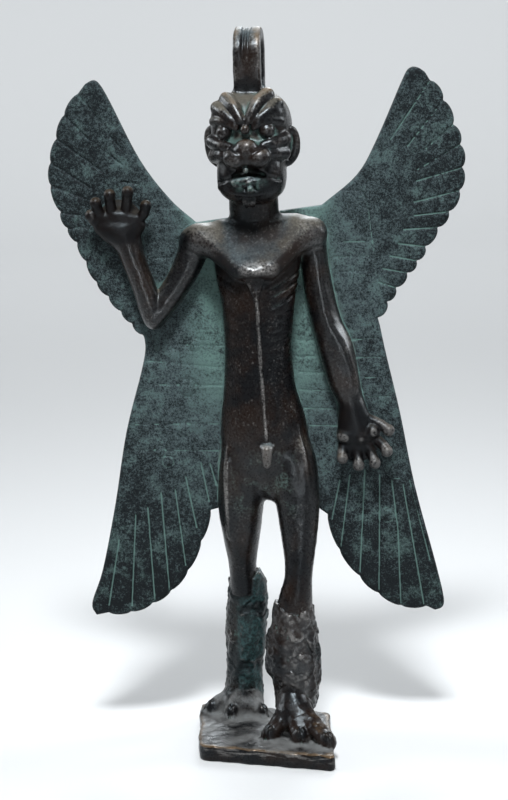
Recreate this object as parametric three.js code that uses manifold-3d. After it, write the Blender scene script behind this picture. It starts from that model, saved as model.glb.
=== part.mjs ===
// A cast bronze figure of a winged demon with a beast's head and bird's feet, on its own low plinth.
// The whole figure is one casting: body, four wings, carrying loop, feet and plinth are one solid.
// Millimetres, +Z up, the figure faces -Y, and the origin is the middle of the plinth's underside.
// Left and right are the viewer's, as seen from the front.
import * as THREE from "three";
import { mergeVertices } from "three/addons/utils/BufferGeometryUtils.js";
import Module from "manifold-3d";

const wasm = await Module();
wasm.setup();

// Driving dimensions
const HEIGHT = 150;
const PLINTH = { width: 27.5, depth: 28.5, skew: 8.7, thickness: 3.3, corner: 2.2, rounding: 0.7 };
const PLATE = { front: 7.4, back: 9.8 };
const HEAD = { centre: [0.3, 0, 128], yaw: 8 };
const LOOP = { width: 6.5, depth: 11, height: 15, holeDepth: 6, holeHeight: 8.4, behind: 2, groove: 0.8 };
const LOBES = { trailing: 13, hem: 6, trailingBulge: 1.1, hemBulge: 0.9, points: 4 };
const FINGER = { root: 1.0, ball: 1.25, tip: 0.55 };
const TOE = { root: 2.1, knuckle: 2.0, claw: 0.9, rise: 2.6 };
const TAIL = { joints: 5, root: 2.4, end: 1.5 };

const FRONT = new THREE.Vector3(0, -1, 0);
const UP = new THREE.Vector3(0, 0, 1);

// A closed geometry as a solid that can be joined and cut
function solid(geometry) {
  geometry.deleteAttribute("normal");
  geometry.deleteAttribute("uv");
  const merged = mergeVertices(geometry, 1e-4);
  return new wasm.Manifold(
    new wasm.Mesh({
      numProp: 3,
      vertProperties: merged.attributes.position.array,
      triVerts: new Uint32Array(merged.index.array),
    }),
  );
}

const join = (solids) => solids.reduce((whole, next) => whole.add(next));

// A limb: an oval carried along a smooth line and closed by a flat cap at each end.
// A station is [x, y, z, half width, half depth], and the depth is measured along `facing`.
function limb(stations, { sides = 10, steps = 8, facing = FRONT } = {}) {
  const line = new THREE.CatmullRomCurve3(stations.map(([x, y, z]) => new THREE.Vector3(x, y, z)));
  const girth = new THREE.CatmullRomCurve3(stations.map(([, , , w, d]) => new THREE.Vector3(w, d, 0)));
  const points = [];
  const faces = [];
  for (let i = 0; i <= steps; i++) {
    const t = i / steps;
    const centre = line.getPoint(t);
    const along = line.getTangent(t);
    const half = girth.getPoint(t);
    const depth = facing.clone().addScaledVector(along, -facing.dot(along)).normalize();
    const width = depth.clone().cross(along);
    for (let j = 0; j < sides; j++) {
      const angle = (2 * Math.PI * j) / sides;
      points.push(
        centre
          .clone()
          .addScaledVector(width, half.x * Math.cos(angle))
          .addScaledVector(depth, half.y * Math.sin(angle)),
      );
    }
  }
  for (let i = 0; i < steps; i++) {
    for (let j = 0; j < sides; j++) {
      const a = i * sides + j;
      const b = i * sides + ((j + 1) % sides);
      faces.push(a, b, a + sides, b, b + sides, a + sides);
    }
  }
  const last = steps * sides;
  for (let j = 1; j < sides - 1; j++) {
    faces.push(0, j + 1, j, last, last + j, last + j + 1);
  }
  return solid(new THREE.BufferGeometry().setFromPoints(points).setIndex(faces));
}

// A rounded mass: a sphere stretched to three radii
function mass([x, y, z], [a, b, c], rings = 8) {
  const geometry = new THREE.SphereGeometry(1, Math.round(rings * 1.5), rings);
  return solid(geometry.rotateX(Math.PI / 2).scale(a, b, c).translate(x, y, z));
}

const mirrored = (stations) => stations.map(([x, ...rest]) => [-x, ...rest]);
const onBothSides = (make) => [1, -1].map((side) => make(side));

// Plinth: a low plate whose right side stands further forward than its left
function plinth() {
  const { width, depth, skew, thickness, corner, rounding } = PLINTH;
  const corners = [
    [-1, -1],
    [1, -1],
    [1, 1],
    [-1, 1],
  ].map(
    ([i, j]) =>
      new THREE.Vector2(i * (width / 2 - rounding), j * (depth / 2 - rounding) - (i * skew) / 2),
  );
  const outline = new THREE.Shape();
  corners.forEach((point, k) => {
    const before = corners[(k + 3) % 4];
    const after = corners[(k + 1) % 4];
    const enter = point.clone().lerp(before, corner / point.distanceTo(before));
    const leave = point.clone().lerp(after, corner / point.distanceTo(after));
    if (k === 0) outline.moveTo(enter.x, enter.y);
    else outline.lineTo(enter.x, enter.y);
    outline.quadraticCurveTo(point.x, point.y, leave.x, leave.y);
  });
  outline.closePath();
  const plate = new THREE.ExtrudeGeometry(outline, {
    depth: thickness - 2 * rounding,
    curveSegments: 4,
    bevelThickness: rounding,
    bevelSize: rounding,
    bevelSegments: 2,
  });
  return solid(plate.translate(0, 0, rounding));
}

// Wings: one plate behind the body. Each edge is a smooth line through [x, z] points, and the
// loop runs down the left side, across behind the legs and up the right side.
const WING_EDGES = [
  { kind: "plain", points: [[-11.6, 110.3], [-16.8, 115.2], [-22.7, 123.4], [-28.4, 135.4], [-31.6, 139.9]] },
  { kind: "trailing", points: [[-34.4, 138], [-39.2, 129.6], [-40.8, 121.5], [-38.6, 112], [-33, 100.6], [-23, 86.6]] },
  { kind: "plain", points: [[-23, 86], [-24.2, 77], [-29.2, 58.3], [-33.1, 41], [-36.3, 28.9], [-35.2, 26.7]] },
  { kind: "hem", points: [[-33.2, 27.2], [-26.8, 28.2], [-20, 31.2], [-14.6, 39.6], [-10.4, 49.2]] },
  { kind: "plain", points: [[-8.8, 49.6], [1, 50.6], [12.8, 48.8]] },
  { kind: "hem", points: [[13.6, 48.2], [17.4, 39.4], [23.6, 30.8], [29.6, 27.4], [35.2, 27]] },
  { kind: "plain", points: [[37.4, 26], [38.6, 28], [36, 40.2], [31.9, 56.7], [28, 78.2], [26.2, 87.6]] },
  { kind: "trailing", points: [[25.6, 89.2], [33.6, 101], [40.6, 112], [43.2, 121.5], [41.2, 129.8], [36.8, 138]] },
  { kind: "plain", points: [[33.8, 140.6], [31.4, 138.4], [26, 126.4], [21.8, 119.2], [14.5, 113.2]] },
];

// Feather tips are round lobes that bulge out of a line through the notches between them
function wingEdge({ kind, points }) {
  const line = new THREE.SplineCurve(points.map(([x, z]) => new THREE.Vector2(x, z)));
  if (kind === "plain") return line.getPoints(3 * points.length);
  const count = LOBES[kind];
  const samples = count * LOBES.points;
  return Array.from({ length: samples + 1 }, (_, i) => {
    const t = i / samples;
    const along = line.getTangentAt(t);
    const bulge = LOBES[kind + "Bulge"] * Math.abs(Math.sin(Math.PI * count * t)) ** 0.7;
    return line.getPointAt(t).add(new THREE.Vector2(along.y, -along.x).multiplyScalar(bulge));
  });
}

function wings() {
  const outline = new THREE.Shape(WING_EDGES.flatMap(wingEdge));
  const plate = new THREE.ExtrudeGeometry(outline, { depth: PLATE.back - PLATE.front, bevelEnabled: false });
  return solid(plate.rotateX(Math.PI / 2).translate(0, PLATE.back, 0));
}

// Trunk: chest with a keel down the middle, narrow waist, hips, and a yoke across the shoulders
function trunk() {
  const body = limb(
    [
      [1.9, 3.2, 54.5, 5.6, 5.2],
      [1.8, 3.2, 58.5, 8.8, 6.6],
      [1.5, 3.3, 63, 9.4, 7.4],
      [1.2, 3.3, 69.4, 8.7, 7.3],
      [0.7, 3.1, 76, 7.4, 6.9],
      [0.6, 2.9, 84, 6.9, 6.9],
      [0.8, 2.6, 93, 7.4, 7.5],
      [0.8, 2.5, 101, 8.8, 7.9],
      [0.8, 3.4, 107, 9.2, 6.6],
      [0.7, 3.6, 110, 7.0, 5.6],
    ],
    { sides: 14, steps: 11 },
  );
  const keel = limb(
    [
      [1.8, -3.6, 66, 0.8, 0.9],
      [1.1, -3.8, 79, 0.9, 1.0],
      [0.9, -4.2, 90, 1.0, 1.0],
      [0.7, -5.0, 100.5, 1.6, 1.2],
    ],
    { sides: 6, steps: 6 },
  );
  const yoke = limb(
    [
      [-14.5, 4.6, 105.6, 2.4, 2.6],
      [-12.0, 4.2, 107.2, 3.5, 3.8],
      [-6.0, 3.4, 107.0, 4.1, 4.6],
      [0.8, 3.0, 106.6, 4.4, 5.2],
      [8.0, 3.4, 107.2, 4.1, 4.6],
      [13.0, 4.2, 108.0, 3.5, 3.8],
      [15.4, 4.6, 107.0, 2.4, 2.6],
    ],
    { steps: 10 },
  );
  const breasts = onBothSides((side) =>
    limb(
      [
        [0.7 + side * 10, 0.8, 107, 2.0, 2.0],
        [0.7 + side * 5.5, -1.8, 104.6, 2.2, 2.0],
        [0.7 + side * 0.8, -3.6, 102, 1.9, 1.9],
      ],
      { sides: 8, steps: 5 },
    ),
  );
  const seat = onBothSides((side) => mass([1.6 + side * 4.4, 8.4, 58.5], [4.4, 4.6, 5.4], 6));
  const member = limb(
    [
      [1.8, -3.2, 66, 1.5, 1.5],
      [1.8, -4.6, 63.6, 1.4, 1.4],
      [1.7, -5.0, 61, 0.6, 0.6],
    ],
    { sides: 6, steps: 4 },
  );
  return join([body, keel, yoke, ...breasts, ...seat, member]);
}

// Tail: a jointed tail in relief, from the seat up the back to a hooked sting
function tail() {
  const path = new THREE.CatmullRomCurve3(
    [
      [1.5, 11.0, 61],
      [1.4, 11.0, 70],
      [1.2, 10.2, 82],
      [1.8, 10.2, 91],
    ].map((p) => new THREE.Vector3(...p)),
  );
  const beads = Array.from({ length: TAIL.joints }, (_, i) => {
    const t = i / (TAIL.joints - 1);
    const p = path.getPoint(t);
    const r = THREE.MathUtils.lerp(TAIL.root, TAIL.end, t);
    return mass([p.x, p.y, p.z], [r, r, r * 2], 5);
  });
  const sting = limb(
    [
      [1.8, 10.2, 90, 1.4, 1.4],
      [2.8, 10.4, 94, 1.2, 1.2],
      [5.2, 10.2, 95.4, 0.9, 0.9],
      [6.4, 10.0, 93.4, 0.4, 0.4],
    ],
    { sides: 6, steps: 6 },
  );
  return join([...beads, sting]);
}

// A finger or thumb ends in a round ball bent towards the viewer
function finger(points) {
  const girths = [FINGER.root, FINGER.root, FINGER.ball, FINGER.tip];
  const ends = points.slice(-2);
  const beyond = ends[1].map((v, k) => v + 0.45 * (v - ends[0][k]));
  const line = [points[0], ...ends, beyond];
  return limb(
    line.map((p, i) => [...p, girths[i], girths[i]]),
    { sides: 5, steps: 4 },
  );
}

// Raised arm, on the left: down to the elbow, then up to an open hand beside the head
function raisedArm() {
  const arm = limb(
    [
      [-12.6, 5.0, 107.6, 3.1, 3.4],
      [-14.4, 5.2, 101.4, 2.8, 3.2],
      [-17.6, 5.2, 95.4, 2.7, 3.1],
      [-20.6, 5.0, 91.4, 2.5, 3.0],
    ],
    { steps: 8 },
  );
  const forearm = limb(
    [
      [-19.6, 5.0, 90.0, 1.9, 2.6],
      [-21.2, 5.0, 92.4, 2.6, 3.1],
      [-22.8, 4.8, 97.2, 2.5, 3.1],
      [-25.0, 4.6, 103.4, 2.5, 3.0],
      [-26.5, 4.4, 108.6, 3.0, 2.8],
    ],
    { steps: 8 },
  );
  const palm = limb(
    [
      [-26.4, 4.8, 107.8, 2.8, 2.6],
      [-26.7, 4.4, 110.8, 3.9, 2.5],
      [-26.7, 4.2, 113.0, 4.8, 2.4],
      [-26.7, 4.2, 115.4, 4.6, 2.2],
    ],
    { steps: 6 },
  );
  const fingers = [
    [[-30.4, 3.8, 111.4], [-31.6, 3.0, 112.8], [-32.5, 2.2, 113.8]],
    [[-29.8, 3.6, 113.6], [-30.7, 2.6, 115.2], [-31.2, 1.8, 116.4]],
    [[-27.8, 3.6, 114.6], [-28.6, 2.6, 116.4], [-28.9, 1.6, 117.8]],
    [[-25.2, 3.6, 114.6], [-25.0, 2.6, 116.6], [-24.9, 1.6, 118.2]],
    [[-23.0, 3.8, 111.8], [-21.4, 2.8, 113.2], [-21.0, 2.0, 114.8]],
  ].map(finger);
  return join([arm, forearm, palm, ...fingers]);
}

// Hanging arm, on the right: a bent elbow, and a hand with spread, curled fingers
function hangingArm() {
  const arm = limb(
    [
      [13.0, 5.0, 108.4, 3.1, 3.4],
      [13.4, 5.2, 101.4, 2.7, 3.2],
      [14.5, 5.2, 94.0, 2.8, 3.2],
      [15.6, 5.2, 88.0, 3.1, 3.2],
      [17.0, 5.0, 83.6, 3.6, 3.3],
      [18.2, 5.0, 77.2, 3.3, 3.1],
      [19.6, 5.0, 73.0, 2.7, 2.8],
      [20.2, 4.8, 69.8, 2.9, 2.7],
    ],
    { steps: 12 },
  );
  const palm = limb(
    [
      [20.0, 5.0, 71.0, 2.7, 2.6],
      [20.4, 4.6, 67.6, 3.6, 2.5],
      [21.0, 4.4, 64.4, 4.4, 2.5],
      [21.2, 4.6, 62.6, 4.0, 2.2],
    ],
    { steps: 6 },
  );
  const fingers = [
    [[17.8, 4.0, 64.0], [17.5, 3.0, 62.6], [17.4, 2.2, 61.4]],
    [[20.4, 4.0, 63.4], [20.5, 2.8, 61.4], [20.5, 2.0, 59.9]],
    [[22.8, 4.0, 63.6], [23.7, 2.8, 61.6], [24.0, 2.0, 60.2]],
    [[24.4, 4.0, 65.0], [26.2, 2.8, 63.6], [27.0, 2.0, 62.8]],
    [[23.2, 4.0, 68.0], [26.4, 2.8, 67.2], [27.7, 2.0, 66.6]],
  ].map(finger);
  return join([arm, palm, ...fingers]);
}

// A bird's foot: three toes that fan out from the shank, each with a knuckle and a claw
function foot(ankle, tips) {
  const [x, y, z] = ankle;
  const top = PLINTH.thickness;
  const toes = tips.map(([u, v]) =>
    limb(
      [
        [x, y, z, TOE.root, TOE.root],
        [x + 0.5 * (u - x), y + 0.5 * (v - y), top + 0.2 * (z - top), TOE.root * 0.9, TOE.root],
        [x + 0.85 * (u - x), y + 0.85 * (v - y), top + 1.0, TOE.knuckle, TOE.rise * 0.7],
        [u, v, top + 0.4, TOE.claw, TOE.rise * 0.45],
      ],
      { sides: 7, steps: 6, facing: UP },
    ),
  );
  const sole = mass([x, y, top + 0.6], [4.6, 4.6, 3.2], 6);
  return join([...toes, sole]);
}

// Legs: smooth thighs over thicker feathered shanks; the right leg steps forward
function legs() {
  const backThigh = limb([
    [-3.2, 4.4, 62, 4.6, 5.4],
    [-3.9, 5.0, 50, 4.6, 5.0],
    [-3.9, 6.2, 43, 3.8, 4.4],
    [-3.9, 7.4, 36.5, 3.0, 3.8],
    [-3.7, 8.4, 31, 3.0, 3.6],
  ]);
  const backShank = limb(
    [
      [-3.3, 8.6, 35.4, 3.7, 3.8],
      [-3.0, 9.8, 29, 4.6, 4.2],
      [-3.2, 10.6, 24, 4.9, 4.4],
      [-3.5, 11.4, 19.5, 4.7, 4.4],
      [-3.8, 12.0, 15, 4.1, 4.1],
      [-4.3, 12.4, 10.5, 3.9, 4.0],
      [-4.6, 12.4, 4, 4.2, 4.4],
    ],
    { sides: 12, steps: 8 },
  );
  const frontThigh = limb(
    [
      [6.8, 2.6, 62, 4.8, 5.4],
      [7.9, 1.6, 51, 4.55, 4.9],
      [8.1, 0.6, 44, 3.65, 4.2],
      [7.9, 0, 40, 3.15, 3.8],
      [7.7, -0.4, 35.6, 2.85, 3.5],
      [7.0, -0.4, 31.5, 3.3, 3.6],
      [6.8, -0.2, 27, 3.3, 3.6],
    ],
    { steps: 12 },
  );
  const frontShank = limb(
    [
      [6.4, -0.2, 29.3, 4.3, 4.3],
      [6.45, 0.0, 25, 5.3, 4.8],
      [6.2, 0.3, 20.5, 6.1, 5.2],
      [6.1, 0.6, 16, 5.9, 5.1],
      [6.6, 0.8, 11.5, 5.0, 4.6],
      [6.6, 0.8, 4, 4.2, 4.4],
    ],
    { sides: 12, steps: 8 },
  );
  const backFoot = foot([-4.6, 12.4, 7], [[-11.8, 10.6], [-7.0, 6.0], [-0.6, 7.4]]);
  const frontFoot = foot([6.6, -0.6, 8.4], [[0.4, -6.6], [7.6, -10.6], [12.4, -10.4]]);
  return join([backThigh, backShank, frontThigh, frontShank, backFoot, frontFoot]);
}

// Head: skull, muzzle, jaw and beard, with bulging eyes, ridged brows, folded cheeks and round ears.
// It is made facing forward about its own middle, and then turned a little to the left.
function head() {
  const brow = [
    [0.7, -7.9, 3.2, 1.0, 1.0],
    [2.2, -6.3, 5.8, 1.3, 1.3],
    [4.4, -3.4, 7.4, 1.2, 1.2],
  ];
  const lid = [
    [2.0, -7.4, 3.8, 0.9, 0.9],
    [4.4, -5.5, 4.9, 1.2, 1.2],
    [6.4, -3.0, 4.9, 1.0, 1.0],
  ];
  const fold = [
    [2.6, -8.0, -1.2, 1.2, 1.2],
    [5.2, -5.4, 0.0, 1.5, 1.5],
    [6.9, -3.0, 0.2, 1.0, 1.0],
  ];
  const thin = { sides: 5, steps: 4 };
  const middle = [
    mass([0, 0.4, 1.4], [8.0, 8.4, 7.9], 10),
    mass([0, -1.8, -6.2], [6.7, 6.6, 7.2], 8),
    mass([0, -7.0, -2.4], [4.8, 4.4, 3.4], 6),
    mass([0, -6.2, -8.4], [4.4, 3.6, 2.4], 6),
    mass([0, -6.2, -11.2], [2.4, 2.2, 2.2], 5),
    mass([0, -8.4, 2.6], [1.3, 1.2, 1.4], 5),
  ];
  const paired = onBothSides((side) => {
    const turn = side > 0 ? (rows) => rows : mirrored;
    return [
      limb(turn(brow), thin),
      limb(turn(lid), thin),
      limb(turn(fold), thin),
      mass([side * 3.6, -6.9, 2.0], [1.7, 1.5, 1.6], 5),
      mass([side * 7.9, 1.2, -1.4], [2.0, 2.6, 4.2], 6),
    ];
  });
  const [x, y, z] = HEAD.centre;
  const neck = limb(
    [
      [0.7, 2.4, 105, 5.4, 5.2],
      [0.7, 1.6, 111, 5.1, 5.0],
      [0.5, 0.6, 118, 5.2, 5.2],
    ],
    { sides: 12, steps: 4 },
  );
  return join([...middle, ...paired.flat()]).rotate([0, 0, -HEAD.yaw]).translate([x, y, z]).add(neck);
}

// Carrying loop: an upright strap on the crown, bent into a loop, with a groove along its outer face.
// The hole runs from side to side.
function arch(shape, halfDepth, halfHeight) {
  const straight = halfHeight - halfDepth;
  return shape
    .absarc(0, straight, halfDepth, 0, Math.PI, false)
    .absarc(0, -straight, halfDepth, Math.PI, 2 * Math.PI, false);
}

function loop() {
  const { width, depth, height, holeDepth, holeHeight, behind, groove } = LOOP;
  const band = (halfDepth, halfHeight, thickness) => {
    const outline = arch(new THREE.Shape(), halfDepth, halfHeight);
    outline.holes.push(arch(new THREE.Path(), holeDepth / 2, holeHeight / 2));
    const geometry = new THREE.ExtrudeGeometry(outline, {
      depth: thickness,
      curveSegments: 6,
      bevelEnabled: false,
    });
    return solid(geometry.translate(0, 0, -thickness / 2).rotateY(Math.PI / 2).rotateX(Math.PI / 2));
  };
  const ridge = (width - groove) / 2;
  const strap = join([
    band(depth / 2 - groove, height / 2 - groove, width),
    band(depth / 2, height / 2, ridge).translate([-(groove + ridge) / 2, 0, 0]),
    band(depth / 2, height / 2, ridge).translate([(groove + ridge) / 2, 0, 0]),
  ]);
  return strap.rotate([0, 0, -HEAD.yaw]).translate([0, behind, HEIGHT - height / 2]);
}

function figure() {
  const whole = join([plinth(), wings(), trunk(), tail(), raisedArm(), hangingArm(), legs(), head(), loop()]);
  const { vertProperties, triVerts } = whole.getMesh();
  const geometry = new THREE.BufferGeometry();
  geometry.setAttribute("position", new THREE.BufferAttribute(vertProperties, 3));
  geometry.setIndex(new THREE.BufferAttribute(triVerts, 1));
  geometry.computeVertexNormals();
  const bronze = new THREE.MeshStandardMaterial({ color: 0x2a2c2a, roughness: 0.45, metalness: 0.7 });
  const mesh = new THREE.Mesh(geometry, bronze);
  mesh.name = "pazuzu_figure";
  return mesh;
}

const part = new THREE.Group();
part.add(figure());

export default part;
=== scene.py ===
"""Looks of the pazuzu figure: a winged, bird-footed demon in dark patinated bronze, cast with its plinth.

The casting is a distance field on a grid: every limb, feather and fold is added to it or cut out of it, with
the soft fillets of a cast. Its surface becomes one mesh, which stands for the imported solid. The figure faces
-Y, left and right are the viewer's, and the forms are in millimetres until the mesh is made.
"""

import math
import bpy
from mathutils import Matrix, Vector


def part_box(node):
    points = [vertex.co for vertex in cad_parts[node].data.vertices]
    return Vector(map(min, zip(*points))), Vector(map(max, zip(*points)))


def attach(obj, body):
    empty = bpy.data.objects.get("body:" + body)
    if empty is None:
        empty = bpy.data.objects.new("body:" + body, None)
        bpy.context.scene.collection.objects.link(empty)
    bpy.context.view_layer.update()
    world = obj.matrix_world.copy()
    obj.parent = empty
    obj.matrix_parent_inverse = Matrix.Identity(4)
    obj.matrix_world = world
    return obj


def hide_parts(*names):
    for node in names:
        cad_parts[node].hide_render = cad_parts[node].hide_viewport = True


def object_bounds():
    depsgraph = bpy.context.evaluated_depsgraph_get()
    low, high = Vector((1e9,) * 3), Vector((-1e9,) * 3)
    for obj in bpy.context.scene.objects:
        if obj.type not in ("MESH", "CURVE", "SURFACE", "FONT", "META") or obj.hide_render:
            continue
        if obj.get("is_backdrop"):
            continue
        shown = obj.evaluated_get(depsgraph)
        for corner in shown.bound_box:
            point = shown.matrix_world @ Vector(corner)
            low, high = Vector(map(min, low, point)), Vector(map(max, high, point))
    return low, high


bl_info = {
    "name": "Pazuzu Figure",
    "version": (1, 0, 0),
    "blender": (4, 5, 0),
    "location": "3D View > Sidebar > Pazuzu",
    "description": "Builds the finish of a cast bronze demon around its packed solid",
    "category": "Object",
}

from collections import namedtuple

import bpy
import numpy as np
from mathutils import Matrix, Vector

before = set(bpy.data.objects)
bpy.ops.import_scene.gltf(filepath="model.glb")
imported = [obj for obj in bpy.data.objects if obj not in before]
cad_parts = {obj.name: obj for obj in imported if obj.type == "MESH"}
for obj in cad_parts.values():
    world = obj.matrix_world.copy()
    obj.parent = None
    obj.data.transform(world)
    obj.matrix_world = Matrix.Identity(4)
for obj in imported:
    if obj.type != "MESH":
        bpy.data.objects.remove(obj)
CAD_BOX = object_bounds()

MM = 0.001

# How far from the surface the field is kept, and how far the grid reaches past the solid, in millimetres
FAR = 2.0
MARGIN = 1.2

# The numbers that mark the parts of the casting
WING, BODY, HEAD, LOOP, BACK_SHANK, FRONT_SHANK, FOOT, CLAW, PLINTH, MOUTH = range(1, 11)

# Fields: shapes, each with the corners of its box and its distance, and the grid that they are cast into

Shape = namedtuple("Shape", "low high distance")


def smooth(rows, parts=6):
    """Rows of numbers made finer along a Catmull-Rom curve: between two rows runs the cubic that leaves and
    arrives along the lines through their neighbours."""
    rows = np.asarray(rows, float)
    ends = np.vstack([2 * rows[0] - rows[1], rows, 2 * rows[-1] - rows[-2]])
    a, b, c, d = ends[:-3, None], ends[1:-2, None], ends[2:-1, None], ends[3:, None]
    t = (np.arange(parts) / parts)[None, :, None]
    cubic = 2 * b + (c - a) * t + (2 * a - 5 * b + 4 * c - d) * t**2 + (3 * b - a - 3 * c + d) * t**3
    return np.vstack([cubic.reshape(-1, rows.shape[1]) / 2, rows[-1]])


def strand(rows, facing=(0, 1, 0), parts=6):
    """An oval carried along a smooth line. A row is x, y, z, half width and half depth, with the depth along
    facing. The distance is the offset from the nearest stretch of the line, over the oval's half sizes, less
    one."""
    line = smooth(rows, parts)
    reach = line[:, 3:].max()
    facing = np.array(facing, float)

    def distance(x, y, z):
        nearest = None
        for start, end in zip(line[:-1], line[1:]):
            along = end[:3] - start[:3]
            share = (x - start[0]) * along[0] + (y - start[1]) * along[1] + (z - start[2]) * along[2]
            share = np.clip(share / (along @ along), 0, 1)
            dx = x - start[0] - share * along[0]
            dy = y - start[1] - share * along[1]
            dz = z - start[2] - share * along[2]
            square = facing - along * (facing @ along) / (along @ along)
            square /= np.linalg.norm(square)
            deep = dx * square[0] + dy * square[1] + dz * square[2]
            wide = np.maximum(dx * dx + dy * dy + dz * dz - deep * deep, 0)
            half_width = start[3] + share * (end[3] - start[3])
            half_depth = start[4] + share * (end[4] - start[4])
            new = np.sqrt(wide / half_width**2 + deep * deep / half_depth**2) - 1
            new *= np.minimum(half_width, half_depth)
            nearest = new if nearest is None else np.minimum(nearest, new)
        return nearest

    return Shape(line[:, :3].min(0) - reach, line[:, :3].max(0) + reach, distance)


def cord(points, radius, facing=(0, 1, 0), parts=6):
    """A strand of one round thickness, or of one that runs from the first to the last of two radii."""
    radii = np.linspace(*radius, len(points)) if isinstance(radius, tuple) else [radius] * len(points)
    return strand([(*point, r, r) for point, r in zip(points, radii)], facing, parts)


def column(rows, front=2.0, back=2.0):
    """Ovals stacked up Z, from rows as in a strand. The section is a power mean of the two offsets over the
    half sizes: power 2 is an oval, less comes to a keel, and more is squarer."""
    line = smooth(rows, 8)
    low = [(line[:, 0] - line[:, 3]).min(), (line[:, 1] - line[:, 4]).min(), line[0, 2]]
    high = [(line[:, 0] + line[:, 3]).max(), (line[:, 1] + line[:, 4]).max(), line[-1, 2]]

    def distance(x, y, z):
        cx, cy, wide, deep = (np.interp(z, line[:, 2], line[:, k]).astype(np.float32) for k in (0, 1, 3, 4))
        across = np.abs(x - cx) / wide + 1e-6
        forward = np.abs(y - cy) / deep + 1e-6
        ahead = (across**front + forward**front) ** (1 / front)
        behind = (across**back + forward**back) ** (1 / back)
        section = (np.where(y < cy, ahead, behind) - 1) * np.minimum(wide, deep)
        return np.maximum(section, np.maximum(low[2] - z, z - high[2]))

    return Shape(np.array(low), np.array(high), distance)


def ball(centre, radii, power=2.0):
    """A stretched ball: the power mean of the offsets over the radii, less one, over the slope of that mean,
    which makes it millimetres."""
    centre, radii = np.array(centre, float), np.array(radii, float) * np.ones(3)

    def distance(x, y, z):
        offsets = [np.abs(v - c) / r for v, c, r in zip((x, y, z), centre, radii)]
        mean = sum(o**power for o in offsets) ** (1 / power)
        slope = np.sqrt(sum((o / r) ** 2 for o, r in zip(offsets, radii))) + 1e-4
        return mean * (mean - 1) / np.maximum(slope, mean / radii.max())

    return Shape(centre - radii, centre + radii, distance)


def turned(shape, centre, degrees):
    """A shape made about nought, turned about Z and set down at a centre."""
    c, s = math.cos(math.radians(degrees)), math.sin(math.radians(degrees))
    corners = np.array([(x, y) for x in (shape.low[0], shape.high[0]) for y in (shape.low[1], shape.high[1])])
    plan = corners @ np.array([[c, s], [-s, c]])
    low = np.array([*plan.min(0), shape.low[2]]) + centre
    high = np.array([*plan.max(0), shape.high[2]]) + centre

    def distance(x, y, z):
        dx, dy = x - centre[0], y - centre[1]
        return shape.distance(c * dx + s * dy, c * dy - s * dx, z - centre[2])

    return Shape(low, high, distance)


def facet(corners, half):
    """A flat triangle with round rims: the distance to the triangle, less half its thickness. Over the
    triangle that is the distance to its plane, and elsewhere the distance to the nearest side."""
    corners = np.array(corners, float)
    sides = np.roll(corners, -1, 0) - corners
    normal = np.cross(sides[0], sides[1])
    normal /= np.linalg.norm(normal)

    def distance(x, y, z):
        within, nearest = True, np.float32(1e6)
        for (ax, ay, az), side in zip(corners, sides):
            dx, dy, dz = x - ax, y - ay, z - az
            inward = np.cross(normal, side)
            within = within & (dx * inward[0] + dy * inward[1] + dz * inward[2] > 0)
            share = np.clip((dx * side[0] + dy * side[1] + dz * side[2]) / (side @ side), 0, 1)
            away = (dx - share * side[0]) ** 2 + (dy - share * side[1]) ** 2 + (dz - share * side[2]) ** 2
            nearest = np.minimum(nearest, away)
        over = np.abs(dx * normal[0] + dy * normal[1] + dz * normal[2])
        return np.where(within, over, np.sqrt(nearest)) - half

    return Shape(corners.min(0) - half, corners.max(0) + half, distance)


def merged(a, b, fillet):
    """The lesser of two distances, with a fillet where they are nearly equal."""
    near = np.maximum(fillet - np.abs(a - b), 0) / fillet
    return np.minimum(a, b) - near * near * fillet / 4


def rounded(a, b, radius):
    """Two distances kept at once, with a round edge where they meet. Both come in moved inwards by the
    radius: inside, the greater of them counts, and outside, the distance to the corner, less the radius."""
    outside = np.sqrt(np.maximum(a, 0) ** 2 + np.maximum(b, 0) ** 2)
    return np.minimum(np.maximum(a, b), 0) + outside - radius


def stretch_away(x, z, start, end):
    """Squared distance in the wings' plane to the nearest point of a straight stretch."""
    (ax, az), (bx, bz) = start, end
    ex, ez = bx - ax, bz - az
    share = np.clip(((x - ax) * ex + (z - az) * ez) / (ex * ex + ez * ez), 0, 1)
    return (x - ax - share * ex) ** 2 + (z - az - share * ez) ** 2


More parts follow.
